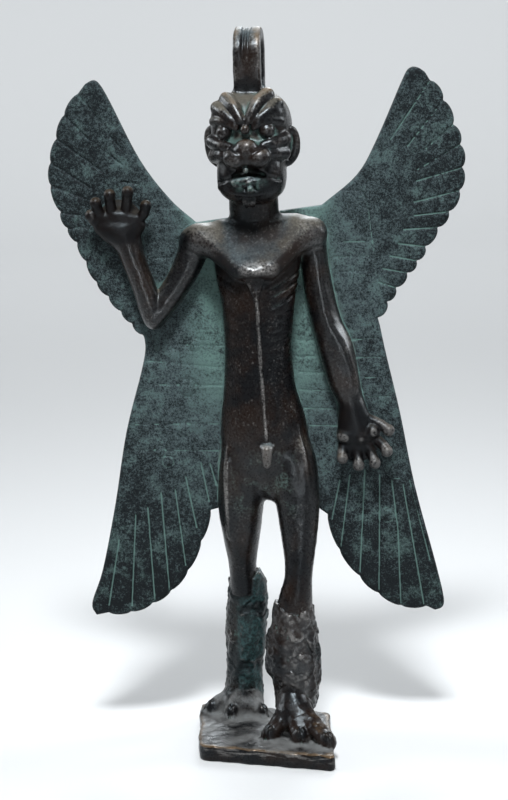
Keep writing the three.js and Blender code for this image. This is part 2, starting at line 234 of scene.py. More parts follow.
class Casting:
    """A distance field on a regular grid, below nought in the metal, with the number of the part at each
    point."""

    def __init__(self, low, high, step):
        self.low, self.step = np.array(low, float), step
        size = np.ceil((np.array(high) - self.low) / step).astype(int) + 1
        self.field = np.full(size, FAR, np.float32)
        self.part = np.zeros(size, np.uint8)

    def window(self, shape, margin):
        """The slices of the grid around a shape, and the grid's coordinates there."""
        first = np.floor((shape.low - margin - self.low) / self.step).astype(int).clip(0)
        last = np.ceil((shape.high + margin - self.low) / self.step).astype(int) + 1
        last = np.minimum(last, self.field.shape)
        axes = [self.low[k] + self.step * np.arange(first[k], last[k]) for k in range(3)]
        grid = np.meshgrid(*(axis.astype(np.float32) for axis in axes), indexing="ij", sparse=True)
        return tuple(slice(a, b) for a, b in zip(first, last)), grid

    def add(self, part, shape, fillet):
        """Joins a shape to the metal with a fillet, and marks where it is the nearer of the two."""
        place, grid = self.window(shape, fillet + 1)
        old, new = self.field[place], shape.distance(*grid)
        self.part[place][new < old] = part
        self.field[place] = merged(old, new, fillet)

    def cut(self, shape, fillet):
        """Takes a shape out of the metal: the same join, on the other side of the surface."""
        place, grid = self.window(shape, fillet + 1)
        self.field[place] = -merged(-self.field[place], shape.distance(*grid), fillet)

    def sample(self, grid, points):
        """The grid's values at points in millimetres, each weighted from its eight corners."""
        at = ((points - self.low) / self.step).clip(0, np.array(grid.shape) - 1.001)
        base = at.astype(int)
        rest = at - base
        total = 0
        for corner in np.ndindex(2, 2, 2):
            weight = np.prod(np.where(corner, rest, 1 - rest), axis=1)
            total = total + weight * grid[tuple((base + corner).T)]
        return total


def ripple(points, length, seed, waves=14):
    """Smooth noise of about that length, mostly within plus and minus one: plane waves in seeded
    directions."""
    rng = np.random.default_rng(seed)
    turns = rng.normal(size=(waves, 3))
    turns *= 2 * np.pi * rng.uniform(0.6, 1.5, (waves, 1)) / (length * np.linalg.norm(turns, axis=1)[:, None])
    total = np.zeros(len(points), np.float32)
    for turn, phase in zip(turns.astype(np.float32), rng.uniform(0, 2 * np.pi, waves)):
        total += np.sin(points @ turn + np.float32(phase))
    return total / math.sqrt(waves)


def flakes(points, count, seed):
    """Flat plates of uneven height: each point takes the height of the nearest of some seeded centres, tilted
    a little about it."""
    rng = np.random.default_rng(seed)
    low, high = points.min(0), points.max(0)
    centres = rng.uniform(low, high, (count, 3)).astype(np.float32)
    height = rng.uniform(-1, 1, count).astype(np.float32)
    tilt = rng.normal(0, 0.22, (count, 3)).astype(np.float32)
    stretch = np.array([1, 1, 0.7], np.float32)
    result = np.empty(len(points), np.float32)
    batch = 40000
    for start in range(0, len(points), batch):
        chunk = points[start : start + batch]
        away = ((chunk[:, None] - centres) * stretch) ** 2
        nearest = away.sum(2).argmin(1)
        result[start : start + batch] = height[nearest] + ((chunk - centres[nearest]) * tilt[nearest]).sum(1)
    return result


# Wings: one plate with lobed feather edges and engraved lines

LEADING_LEFT = [
    (-11.6, 110.3), (-16.8, 115.2), (-22.7, 123.4), (-28.4, 135.4), (-30.3, 138.9), (-31.6, 139.9),
    (-33.3, 139.2),
]
NOTCHES_LEFT = [
    (-34.9, 137.2), (-37.8, 133.0), (-39.6, 128.2), (-41.0, 123.4), (-41.2, 118.7), (-39.4, 113.2),
    (-38.1, 109.8), (-36.2, 106.8), (-34.5, 102.8), (-32.5, 98.4), (-30.2, 95.4), (-27.7, 92.2),
    (-25.5, 89.6), (-23.4, 87.1),
]
OUTER_LEFT = [
    (-23.1, 86.4), (-23.0, 83.9), (-24.0, 79.2), (-27.6, 66.4), (-30.5, 50.9), (-33.7, 36.7),
    (-36.2, 29.6), (-35.4, 26.9),
]
HEM_LEFT = [
    (-32.7, 27.4), (-27.9, 27.5), (-23.3, 29.3), (-19.3, 31.9), (-15.6, 36.2), (-12.6, 42.5),
    (-10.4, 49.2),
]
BETWEEN_LEGS = [(-8.8, 49.6), (-3, 53.4), (2.4, 54.2), (8, 53), (12.8, 48.8)]
HEM_RIGHT = [(14.4, 47.6), (16.8, 39.8), (21.0, 33.9), (24.9, 30.1), (29.7, 27.2), (35.0, 27.0)]
OUTER_RIGHT = [
    (36.9, 26.0), (38.6, 26.8), (38.7, 29.4), (37.0, 37.0), (32.9, 53.5), (30.0, 69.2), (27.3, 81.5),
    (26.0, 88.0),
]
NOTCHES_RIGHT = [
    (37.0, 138.1), (39.6, 134.0), (41.6, 129.0), (43.0, 124.9), (43.4, 120.2), (42.8, 115.5),
    (40.6, 111.2), (38.2, 108.0), (35.6, 104.1), (33.8, 101.2), (31.8, 98.7), (29.4, 95.7),
    (27.6, 92.8), (25.6, 89.5),
]
LEADING_RIGHT = [
    (36.0, 139.8), (34.5, 140.8), (32.9, 140.7), (31.4, 138.4), (26, 126.4), (21.8, 119.2),
    (14.5, 113.2),
]

# Quill lines of the upper wings, from the tip down: each one's fall in degrees, and its run into the wing
QUILLS_LEFT = [(52, 7.6), (47, 7.0), (37, 11.5), (34, 9.9), (22, 7.2), (12, 5.2), (-3, 4.4)]
QUILLS_RIGHT = [
    (55, 14.4), (51, 11.8), (40, 7.4), (29, 10.1), (15, 9.8), (13, 9.6), (5, 7.2),
    (2, 7.0), (-8, 5.6), (-12, 5.6), (-12, 5.2), (-19, 3.7),
]
SHORT_CUTS = [
    [(-29.0, 128.9), (-26.4, 125.8)],
    [(-29.5, 125.1), (-26.4, 122.6)],
    [(-26.5, 119.1), (-23.4, 118.6)],
]

# Quill lines of the lower wings, from the hem upwards
QUILLS_LOWER = [
    [(-32.6, 29.1), (-29.9, 43.4)],
    [(-27.7, 29.0), (-26.2, 48.7)],
    [(-22.8, 30.0), (-23.6, 50.2)],
    [(-19.6, 31.5), (-20.7, 53.3)],
    [(-16.0, 37.4), (-17.7, 53.9)],
    [(-13.4, 45.6), (-15.4, 56.6)],
    [(-10.6, 51.2), (-12.1, 59.6)],
    [(-9.0, 54.8), (-10.2, 59.5)],
    [(15.2, 46.5), (17.1, 55.1)],
    [(17.0, 40.3), (19.2, 56.2)],
    [(21.0, 35.0), (22.4, 57.2)],
    [(25.0, 30.9), (25.5, 56.0)],
    [(29.6, 27.5), (29.2, 44.0), (28.0, 54.8)],
    [(34.5, 27.4), (32.3, 41.7), (30.4, 53.7)],
    [(35.9, 37.2), (31.8, 54.7)],
]

# Shallow lines across the coverts, and the line where they end
COVERTS = [
    [(-20.9, 113.8), (-12.7, 113.2)],
    [(-21.1, 110.3), (-14.5, 109.9)],
    [(-21.2, 106.8), (-15.4, 106.4)],
    [(-20.9, 103.2), (-16.8, 103.1)],
    [(-18.8, 85.0), (-7.0, 84.4)],
    [(-22.5, 81.6), (-7.1, 79.8)],
    [(-22.6, 76.6), (-7.2, 76.0)],
    [(-25.7, 68.1), (-8.3, 67.9)],
    [(-28.0, 62.8), (-8.4, 62.1)],
    [(-30.6, 49.3), (-28.0, 49.2), (-25.3, 50.2), (-23.7, 51.3)],
    [(17.0, 105.6), (24.6, 105.4)],
    [(16.9, 102.4), (24.6, 102.5)],
    [(17.5, 99.3), (24.9, 99.5)],
    [(8.7, 85.3), (12.6, 85.0)],
    [(8.6, 81.9), (13.0, 81.6)],
    [(9.0, 78.5), (14.2, 78.1)],
    [(9.1, 74.7), (15.3, 74.3)],
    [(10.0, 70.8), (16.1, 70.4)],
    [(11.0, 67.1), (16.9, 66.8)],
    [(20.1, 85.0), (25.5, 85.3)],
    [(20.7, 81.2), (26.3, 81.2)],
    [(22.7, 76.9), (27.1, 77.0)],
    [(23.3, 72.8), (27.9, 72.9)],
    [(25.1, 57.1), (27.6, 55.3), (30.2, 55.0)],
    [(19.2, 116.2), (22.7, 116.1), (23.9, 113.0), (24.4, 107.8), (25.0, 103.7), (25.3, 98.5)],
]

# Pimples that the mould left on the left lower wing and one on the right: x, z, radius and height
PIMPLES = [
    (-14.5, 75.7, 1.3, 0.35),
    (-19.3, 69.5, 1.5, 0.25),
    (-15.6, 66.8, 1.1, 0.25),
    (-12.0, 67.8, 1.6, 0.2),
    (-20.6, 62.2, 0.8, 0.3),
    (-19.0, 60.0, 0.8, 0.3),
    (-12.6, 84.8, 1.0, 0.25),
    (-17.4, 82.8, 0.9, 0.2),
    (26.9, 47.3, 1.1, 0.3),
]


def lobed(notches, bulge):
    """A feather edge: from each notch to the next, a lobe stands out to the right of the line by a power of a
    half sine wave."""
    notches = np.array(notches)
    along = np.diff(notches, axis=0)
    out = np.stack([along[:, 1], -along[:, 0]], 1) / np.linalg.norm(along, axis=1)[:, None]
    t = np.linspace(0, 1, 9)[:-1]
    lift = bulge * np.sin(np.pi * t) ** 0.6
    edge = notches[:-1, None] + along[:, None] * t[:, None] + out[:, None] * lift[:, None]
    return np.vstack([edge.reshape(-1, 2), notches[-1]])


def quills(notches, lines, side):
    """Straight lines from the notches into the wing, each with its own fall and run."""
    return [
        [(x, z), (x + side * run * math.cos(math.radians(fall)), z - run * math.sin(math.radians(fall)))]
        for (x, z), (fall, run) in zip(notches, lines)
    ]


def to_outline(points, x, z):
    """Distance to a closed outline: the least distance to any edge, below nought inside, which is told by
    counting crossings."""
    nearest, inside = np.float32(1e6), False
    for (ax, az), (bx, bz) in zip(points, np.roll(points, -1, 0)):
        nearest = np.minimum(nearest, stretch_away(x, z, (ax, az), (bx, bz)))
        if bz != az:
            inside = inside ^ (((az > z) != (bz > z)) & (x < ax + (z - az) * (bx - ax) / (bz - az)))
    return np.where(inside, -1, 1) * np.sqrt(nearest)


def engraved(lines, x, z, width):
    """How deep a set of lines is cut, from 0 to 1: a bell curve across each line."""
    deepest = np.float32(0)
    for line in lines:
        for start, end in zip(line[:-1], line[1:]):
            deepest = np.maximum(deepest, np.exp(-stretch_away(x, z, start, end) / width**2))
    return deepest


def wing_plate(sizes):
    """Both pairs of wings: the outline's distance and the distance from the plate's two faces, with a rounded
    edge. Engraved lines and pimples move the faces."""
    lobe, right_lobe, parts = 0.6, 0.9, 5
    edge = [
        smooth(LEADING_LEFT, parts),
        lobed(NOTCHES_LEFT, lobe),
        smooth(OUTER_LEFT, parts),
        lobed(HEM_LEFT, lobe),
        smooth(BETWEEN_LEGS, parts),
        lobed(HEM_RIGHT, lobe),
        smooth(OUTER_RIGHT, parts),
        lobed(NOTCHES_RIGHT[::-1], right_lobe),
        smooth(LEADING_RIGHT, parts),
    ]
    outline = np.vstack(edge)
    cuts = QUILLS_LOWER + SHORT_CUTS
    cuts = cuts + quills(NOTCHES_LEFT, QUILLS_LEFT, 1) + quills(NOTCHES_RIGHT, QUILLS_RIGHT, -1)
    front, back = sizes.plate_front / MM, sizes.plate_back / MM
    depth, rounding = sizes.engraving / MM, 0.75
    quill_width, covert_width, covert_share = 0.17, 0.16, 0.55

    def distance(x, y, z):
        side = to_outline(outline, x, z)
        cut = depth * engraved(cuts, x, z, quill_width)
        cut = np.maximum(cut, covert_share * depth * engraved(COVERTS, x, z, covert_width))
        bow = 0.25 * np.sin(x / 13 + 0.6) * np.sin(z / 17)
        face = front + bow + cut
        for px, pz, radius, height in PIMPLES:
            away = np.sqrt((x - px) ** 2 + (z - pz) ** 2) / radius
            face = face - height * np.exp(-(away**2)) + 0.6 * height * np.exp(-(((away - 1.5) / 0.3) ** 2))
        rear = back + bow - 0.6 * cut
        middle, half = (face + rear) / 2, (rear - face) / 2
        return rounded(side + rounding, np.abs(y - middle) - half + rounding, rounding)

    low = [outline[:, 0].min(), front - 1, outline[:, 1].min()]
    high = [outline[:, 0].max(), back + 1, outline[:, 1].max()]
    return Shape(np.array(low), np.array(high), distance)


# Trunk and limbs


def trunk_column():
    """Chest to hips as a keeled column. Ribs are a high power of a cosine up the flank, cut into it, and
    slant more towards the chest."""
    shape = column(
        [
            (1.9, 3.6, 55.5, 3.0, 3.4),
            (1.8, 3.4, 59.0, 7.0, 5.4),
            (1.6, 3.3, 63, 9.0, 6.6),
            (1.3, 3.3, 69.4, 8.8, 6.9),
            (0.7, 3.1, 76, 7.5, 6.6),
            (0.6, 2.9, 84, 6.9, 6.4),
            (0.8, 2.6, 93, 7.4, 6.4),
            (0.8, 2.6, 100, 8.5, 6.3),
            (0.8, 3.2, 106, 8.8, 5.8),
            (0.7, 3.6, 110.5, 6.6, 5.0),
        ],
        front=1.65,
        back=2.2,
    )
    rib_pitch, rib_height, lowest_rib, highest_rib = 1.75, 95.2, 79, 98

    def distance(x, y, z):
        slant = 0.14 + 0.36 * np.clip((z - 92.5) / 4, 0, 1)
        rising = z - slant * np.abs(x - 2.4)
        wave = np.cos(np.pi * (rising - rib_height) / rib_pitch) ** 10
        depth = 0.16 + 0.16 * np.clip((rising - 92) / 2, 0, 1)
        right = np.clip((x - 2.6) / 1.2, 0, 1)
        left = 0.3 * np.clip((-2.8 - x) / 1.5, 0, 1)
        fade = np.clip((rising - lowest_rib) / 3, 0, 1) * np.clip((highest_rib - rising) / 0.8, 0, 1)
        fade = fade * np.clip((4 - y) / 2, 0, 1)
        return shape.distance(x, y, z) + depth * wave * fade * (right + left)

    return Shape(shape.low, shape.high, distance)


def cast_trunk(casting):
    """Trunk, shoulders, breastbone, keel and neck, and on the back the buttocks and a jointed tail."""
    casting.add(BODY, trunk_column(), 0.9)
    yoke = [
        (-12.0, 4.8, 107.0, 2.9, 3.3),
        (-6.0, 3.6, 107.4, 3.7, 4.2),
        (0.8, 3.0, 107.4, 4.0, 4.4),
        (7.6, 3.6, 108.4, 3.8, 4.2),
        (12.2, 4.8, 108.2, 2.7, 3.2),
    ]
    casting.add(BODY, strand(yoke), 1.8)
    left, right, nape = (-10.2, 1.6, 108.0), (11.2, 1.6, 109.0), (0.7, 1.8, 107.4)
    low_left, low_right = (-2.8, -4.2, 102.0), (3.3, -4.2, 102.0)
    for corners in ((left, low_left, nape), (low_left, low_right, nape), (low_right, right, nape)):
        casting.add(BODY, facet(corners, 1.5), 2.0)
    for side, lift in ((-1, 0.0), (1, 0.6)):
        collar = [
            (0.5 + side * 11.2, 2.8, 107.2 + lift),
            (0.5 + side * 8.2, 0.2, 106.0 + lift),
            (0.4 + side * 5.4, -2.2, 103.6 + 0.5 * lift),
            (0.3 + side * 3.0, -3.6, 101.9),
        ]
        casting.add(BODY, cord(collar, (2.6, 1.4)), 1.8)
        casting.add(BODY, ball((0.5 + side * 11.6, 3.2, 107.4 + lift), (2.9, 3.2, 2.9)), 1.2)
    sternum = [(-2.9, -4.4, 101.7, 1.2, 1.5), (0.2, -4.9, 101.5, 1.25, 1.55), (3.3, -4.4, 101.7, 1.2, 1.5)]
    casting.add(BODY, strand(sternum), 0.5)
    casting.add(BODY, facet([(-1.7, -4.4, 100.6), (1.9, -4.4, 100.6), (0.4, -3.8, 95.6)], 0.4), 0.25)
    keel = [
        (0.4, -3.95, 97.5), (0.6, -3.95, 93), (0.8, -3.8, 87), (0.95, -3.65, 81), (1.3, -3.7, 75),
        (1.75, -3.8, 66.5),
    ]
    casting.add(BODY, cord(keel, (0.5, 0.42)), 0.45)
    neck = [(0.6, 4.2, 104, 5.0, 4.0), (0.5, 3.2, 111, 5.0, 4.3), (0.3, 1.6, 118, 5.0, 4.8)]
    casting.add(BODY, strand(neck), 1.2)
    for x in (-1.6, 2.6):
        muscle = [(x, -1.6, 116.5), (x * 0.9, 0.1, 112), (x * 0.6 + 0.3, 1.8, 107)]
        casting.add(BODY, cord(muscle, (1.2, 0.9)), 0.9)
    for side in (-1, 1):
        casting.add(BODY, ball((1.6 + side * 4.4, 8.2, 58.5), (4.4, 4.8, 5.6)), 1.4)
    casting.cut(cord([(1.5, 12.2, 62), (1.5, 12.4, 58), (1.6, 11.6, 54)], 0.6), 1.0)
    tail = [(1.5, 11.0, 60), (1.4, 10.9, 70), (1.2, 10.2, 82), (1.8, 10.2, 90)]
    for t, point in enumerate(smooth(tail, 4)):
        girth = 2.5 - 0.09 * t
        casting.add(BODY, ball(point, (girth, girth * 0.9, girth)), 0.35)
    sting = [
        (1.8, 10.2, 90, 1.4, 1.4),
        (2.8, 10.4, 94, 1.2, 1.2),
        (5.2, 10.2, 95.4, 0.9, 0.9),
        (6.4, 10.0, 93.4, 0.4, 0.4),
    ]
    casting.add(BODY, strand(sting), 0.4)


def cast_fingers(casting, fingers):
    """Fingers: short bent cords with a round, slightly thicker end."""
    for points in fingers:
        casting.add(BODY, cord(points, 1.08), 0.3)
        casting.add(BODY, ball(points[-1], 1.2), 0.3)


def cast_arms(casting):
    """The raised arm on the left and the hanging arm on the right, each with its hand."""
    upper = [
        (-11.6, 5.0, 106.4, 3.2, 3.4),
        (-13.6, 5.1, 101.8, 2.95, 3.2),
        (-15.6, 5.2, 98.2, 2.75, 3.1),
        (-18.4, 5.2, 94.2, 2.65, 3.1),
        (-20.6, 5.0, 91.2, 2.4, 3.0),
    ]
    casting.add(BODY, strand(upper), 0.8)
    forearm = [
        (-20.9, 5.2, 90.0, 1.3, 2.3),
        (-21.2, 5.0, 92.4, 2.4, 3.1),
        (-22.4, 4.7, 97.0, 2.45, 3.2),
        (-24.5, 4.5, 103.2, 2.45, 3.0),
        (-25.8, 4.3, 107.8, 2.75, 2.8),
    ]
    casting.add(BODY, strand(forearm), 0.4)
    palm = [(-26.0, 4.7, 107.4, 2.8, 2.6), (-26.9, 4.4, 109.8, 4.0, 2.5), (-27.2, 4.8, 111.2, 4.6, 2.0)]
    casting.add(BODY, strand(palm), 0.8)
    heel = [(-30.7, 4.0, 110.4, 1.5, 1.7), (-27.2, 3.5, 109.4, 1.9, 2.0), (-23.5, 3.9, 110.6, 1.5, 1.7)]
    casting.add(BODY, strand(heel), 1.4)
    knuckles = [(-31.2, 4.0, 112.2, 1.0, 1.5), (-27.4, 3.7, 112.8, 1.1, 1.6), (-23.8, 3.9, 112.2, 1.0, 1.5)]
    casting.add(BODY, strand(knuckles), 1.0)
    cast_fingers(casting, (
        [(-31.0, 4.0, 110.8), (-32.2, 3.4, 111.7), (-32.8, 2.8, 112.9)],
        [(-30.6, 3.6, 112.4), (-31.4, 2.8, 114.0), (-31.7, 1.9, 115.5)],
        [(-28.6, 3.4, 113.2), (-28.8, 2.6, 115.6), (-28.8, 1.7, 117.1)],
        [(-25.7, 3.4, 113.4), (-25.3, 2.6, 116.0), (-25.1, 1.7, 117.6)],
        [(-23.6, 3.8, 111.6), (-22.1, 3.0, 112.8), (-21.6, 2.2, 114.6)],
    ))
    hanging = [
        (11.9, 5.0, 107.6, 3.1, 3.4),
        (12.6, 5.2, 101.8, 2.8, 3.2),
        (13.6, 5.2, 95.0, 2.95, 3.2),
        (14.9, 5.2, 89.0, 3.1, 3.2),
        (16.7, 5.0, 83.6, 3.6, 3.4),
        (18.1, 5.0, 77.2, 3.3, 3.1),
        (19.4, 5.0, 73.0, 2.7, 2.8),
        (20.0, 4.8, 69.8, 2.8, 2.7),
    ]
    casting.add(BODY, strand(hanging), 0.8)
    ridge = [
        (12.8, 3.2, 103), (13.6, 2.9, 96), (15.0, 2.8, 89.4), (17.6, 2.7, 84.6), (19.2, 2.9, 80),
        (19.8, 3.2, 76),
    ]
    casting.add(BODY, cord(ridge, (1.1, 1.2)), 1.0)
    hand = [(19.9, 5.0, 71.0, 2.7, 2.6), (20.3, 4.4, 67.2, 3.7, 2.6), (20.9, 4.6, 63.8, 4.2, 2.2)]
    casting.add(BODY, strand(hand), 0.8)
    for x, z, size in ((18.4, 65.4, 2.0), (21.4, 65.2, 2.1), (23.9, 66.4, 1.7)):
        casting.add(BODY, ball((x, 3.4, z), (size, 1.8, 1.7)), 0.5)
    cast_fingers(casting, (
        [(18.0, 4.0, 64.2), (17.6, 3.2, 62.4), (17.5, 2.2, 61.0)],
        [(20.2, 3.8, 63.8), (20.7, 3.0, 61.2), (20.8, 2.0, 59.4)],
        [(22.4, 3.8, 64.0), (23.6, 3.0, 61.6), (24.2, 2.0, 59.8)],
        [(24.0, 4.0, 65.2), (25.9, 3.2, 63.4), (26.8, 2.4, 62.2)],
        [(22.8, 4.2, 69.0), (25.4, 3.4, 67.8), (27.2, 2.6, 66.6)],
    ))


def cast_foot(casting, ankle, toes, fillet):
    """A bird's foot: each toe runs from the ankle over a knuckle to an upright claw with a slit down its
    face."""
    for knuckle, (x, y, z) in toes:
        toe = [(*ankle, 2.5, 2.5), (*knuckle, 2.1, 2.0), (x, y + 0.6, z - 0.6, 1.9, 1.8)]
        casting.add(FOOT, strand(toe, (0.3, 0.5, 1)), fillet)
    for _, (x, y, z) in toes:
        along = np.array([x, y]) - ankle[:2]
        along /= np.linalg.norm(along)
        casting.add(CLAW, ball((x, y, z), (1.4, 1.3, 1.9)), 0.15)
        front = np.array([x, y]) + 1.4 * along
        casting.cut(cord([(x, y, z + 1.9), (*front, z + 0.6), (*front, z - 1.2)], 0.34), 0.25)


def sleeve(rows, rim, **powers):
    """A column whose top follows a rim, given as heights over x."""
    shape = column(rows, **powers)

    def distance(x, y, z):
        return np.maximum(shape.distance(x, y, z), z - np.interp(x, *rim).astype(np.float32))

    return Shape(shape.low, shape.high, distance)


def back_sleeve():
    """The back shank, with a rim that dips to the left of its middle and a panel raised on its right front.
    The panel is a product of ramps across and up."""
    shape = sleeve(
        [
            (-4.5, 12.2, 5.0, 4.3, 4.4),
            (-4.3, 12.2, 10.2, 4.0, 4.0),
            (-3.85, 11.8, 15, 3.95, 4.1),
            (-3.7, 11.2, 19.3, 4.2, 4.4),
            (-3.45, 10.6, 23.8, 4.4, 4.4),
            (-2.95, 9.8, 29.2, 4.4, 4.2),
            (-3.0, 9.0, 33.5, 4.0, 4.0),
            (-3.0, 8.6, 37.5, 3.9, 3.8),
        ],
        ([-7.2, -4.9, -3.2, -1.3, -0.3, 1], [34.4, 31.9, 34.0, 35.0, 35.8, 33.6]),
    )

    def distance(x, y, z):
        panel = np.clip((x + 5.1) / 0.5, 0, 1) * np.clip((0.9 - x) / 0.8, 0, 1)
        panel = panel * np.clip((z - 15.0 - 0.4 * np.abs(x + 2.6)) / 0.5, 0, 1)
        panel = panel * np.clip((27.5 - z) / 0.8, 0, 1)
        return shape.distance(x, y, z) - 0.45 * panel * (y < 11)

    return Shape(shape.low, shape.high, distance)


def cast_legs(casting):
    """Thighs, scaled shanks and bird's feet. The leg on the right stands further forward."""
    back_thigh = [
        (-3.7, 8.4, 31, 2.9, 3.6),
        (-3.9, 7.4, 37.5, 2.95, 3.8),
        (-3.95, 6.2, 43, 3.75, 4.4),
        (-3.95, 5.2, 50, 4.7, 5.0),
        (-3.5, 4.8, 55, 5.0, 5.4),
        (-3.0, 4.4, 61, 4.9, 5.5),
        (-2.2, 4.2, 66, 4.2, 4.6),
        (-1.0, 4.4, 71, 2.4, 3.0),
    ]
    front_thigh = [
        (6.8, -0.2, 26, 3.0, 3.3),
        (6.9, -0.2, 29.0, 3.5, 3.8),
        (6.9, -0.3, 31.0, 3.6, 3.9),
        (7.2, -0.4, 33.2, 3.35, 3.7),
        (7.75, -0.4, 36.5, 2.9, 3.5),
        (8.0, 0.0, 40, 3.1, 3.8),
        (8.1, 0.6, 44, 3.65, 4.2),
        (8.0, 1.6, 51, 4.5, 4.9),
        (7.6, 2.0, 55, 4.9, 5.3),
        (6.9, 2.6, 61, 5.1, 5.5),
        (5.4, 3.0, 66, 4.6, 4.7),
        (3.6, 3.6, 71, 2.4, 3.0),
    ]
    casting.add(BODY, column(back_thigh), 1.0)
    casting.add(BODY, column(front_thigh), 0.8)
    casting.add(BODY, ball((2.4, 3.6, 56.6), (2.6, 4.2, 4.4)), 1.6)
    left_edge = [(-4.6, 2.6, 68), (-6.3, 0.3, 62), (-6.7, 0.3, 56), (-6.6, 0.9, 50.5), (-6.1, 2.4, 45)]
    right_edge = [
        (7.4, 0.8, 68.5), (9.1, -1.7, 62.5), (9.6, -2.2, 57), (9.4, -2.3, 52), (9.2, -2.1, 48),
        (8.7, -2.2, 43),
    ]
    casting.add(BODY, cord(left_edge, (0.8, 0.6)), 0.8)
    casting.add(BODY, cord(right_edge, (0.8, 0.6)), 0.9)
    casting.add(BODY, ball((1.8, -3.2, 64.6), (1.6, 1.7, 1.4)), 0.5)
    casting.add(BODY, cord([(1.8, -4.3, 64.4), (1.75, -4.9, 62.6), (1.7, -4.9, 61.6)], (1.15, 0.8)), 0.2)
    front_shank = [
        (6.7, 1.2, 7.6, 4.3, 4.4),
        (7.0, 1.0, 11.0, 4.6, 4.6),
        (6.8, 0.6, 14, 5.3, 4.9),
        (6.3, 0.5, 17.3, 5.9, 5.2),
        (6.25, 0.3, 21.7, 5.6, 5.1),
        (6.35, 0, 27, 4.7, 4.7),
        (6.5, -0.2, 32, 3.9, 4.3),
    ]
    ankle_back = [(-4.5, 12.2, 3.0, 4.6, 4.8), (-4.3, 12.0, 9, 3.8, 3.9)]
    ankle_front = [(6.4, 0.4, 3.0, 4.2, 4.4), (6.2, 0.2, 9, 3.7, 3.9), (6.3, 0.2, 15, 3.6, 4.0)]
    casting.add(FOOT, column(ankle_back), 0.8)
    casting.add(BODY, column(ankle_front), 0.8)
    casting.add(BACK_SHANK, back_sleeve(), 0.25)
    rim = ([2, 3.3, 4.7, 7.3, 10.4], [31.4, 31.0, 29.7, 29.2, 30.2])
    casting.add(FRONT_SHANK, sleeve(front_shank, rim, front=1.8), 0.2)
    parting = [(6.0, -6.6, 6, 3.6, 2.6), (5.9, -6.6, 10, 2.6, 2.4), (5.9, -6.4, 14.2, 0.6, 2.0)]
    casting.cut(strand(parting), 0.3)
    instep = [(6.0, -1.6, 15, 2.0, 2.2), (5.9, -2.4, 11.5, 2.6, 2.4), (6.2, -3.2, 8, 3.4, 2.6)]
    casting.add(BODY, strand(instep), 0.8)
    cast_foot(casting, (-4.6, 11.0, 7.0), (
        ((-8.8, 11.6, 5.6), (-11.4, 10.8, 4.5)),
        ((-6.0, 9.0, 5.6), (-6.9, 7.2, 4.7)),
        ((-2.6, 9.0, 5.4), (-0.6, 7.4, 4.4)),
    ), 1.6)
    cast_foot(casting, (6.0, -2.8, 9.6), (
        ((3.2, -5.2, 6.6), (0.9, -7.0, 4.8)),
        ((6.6, -6.6, 6.8), (7.2, -9.6, 4.9)),
        ((10.2, -8.0, 6.2), (12.8, -12.4, 4.9)),
    ), 1.3)


# Head


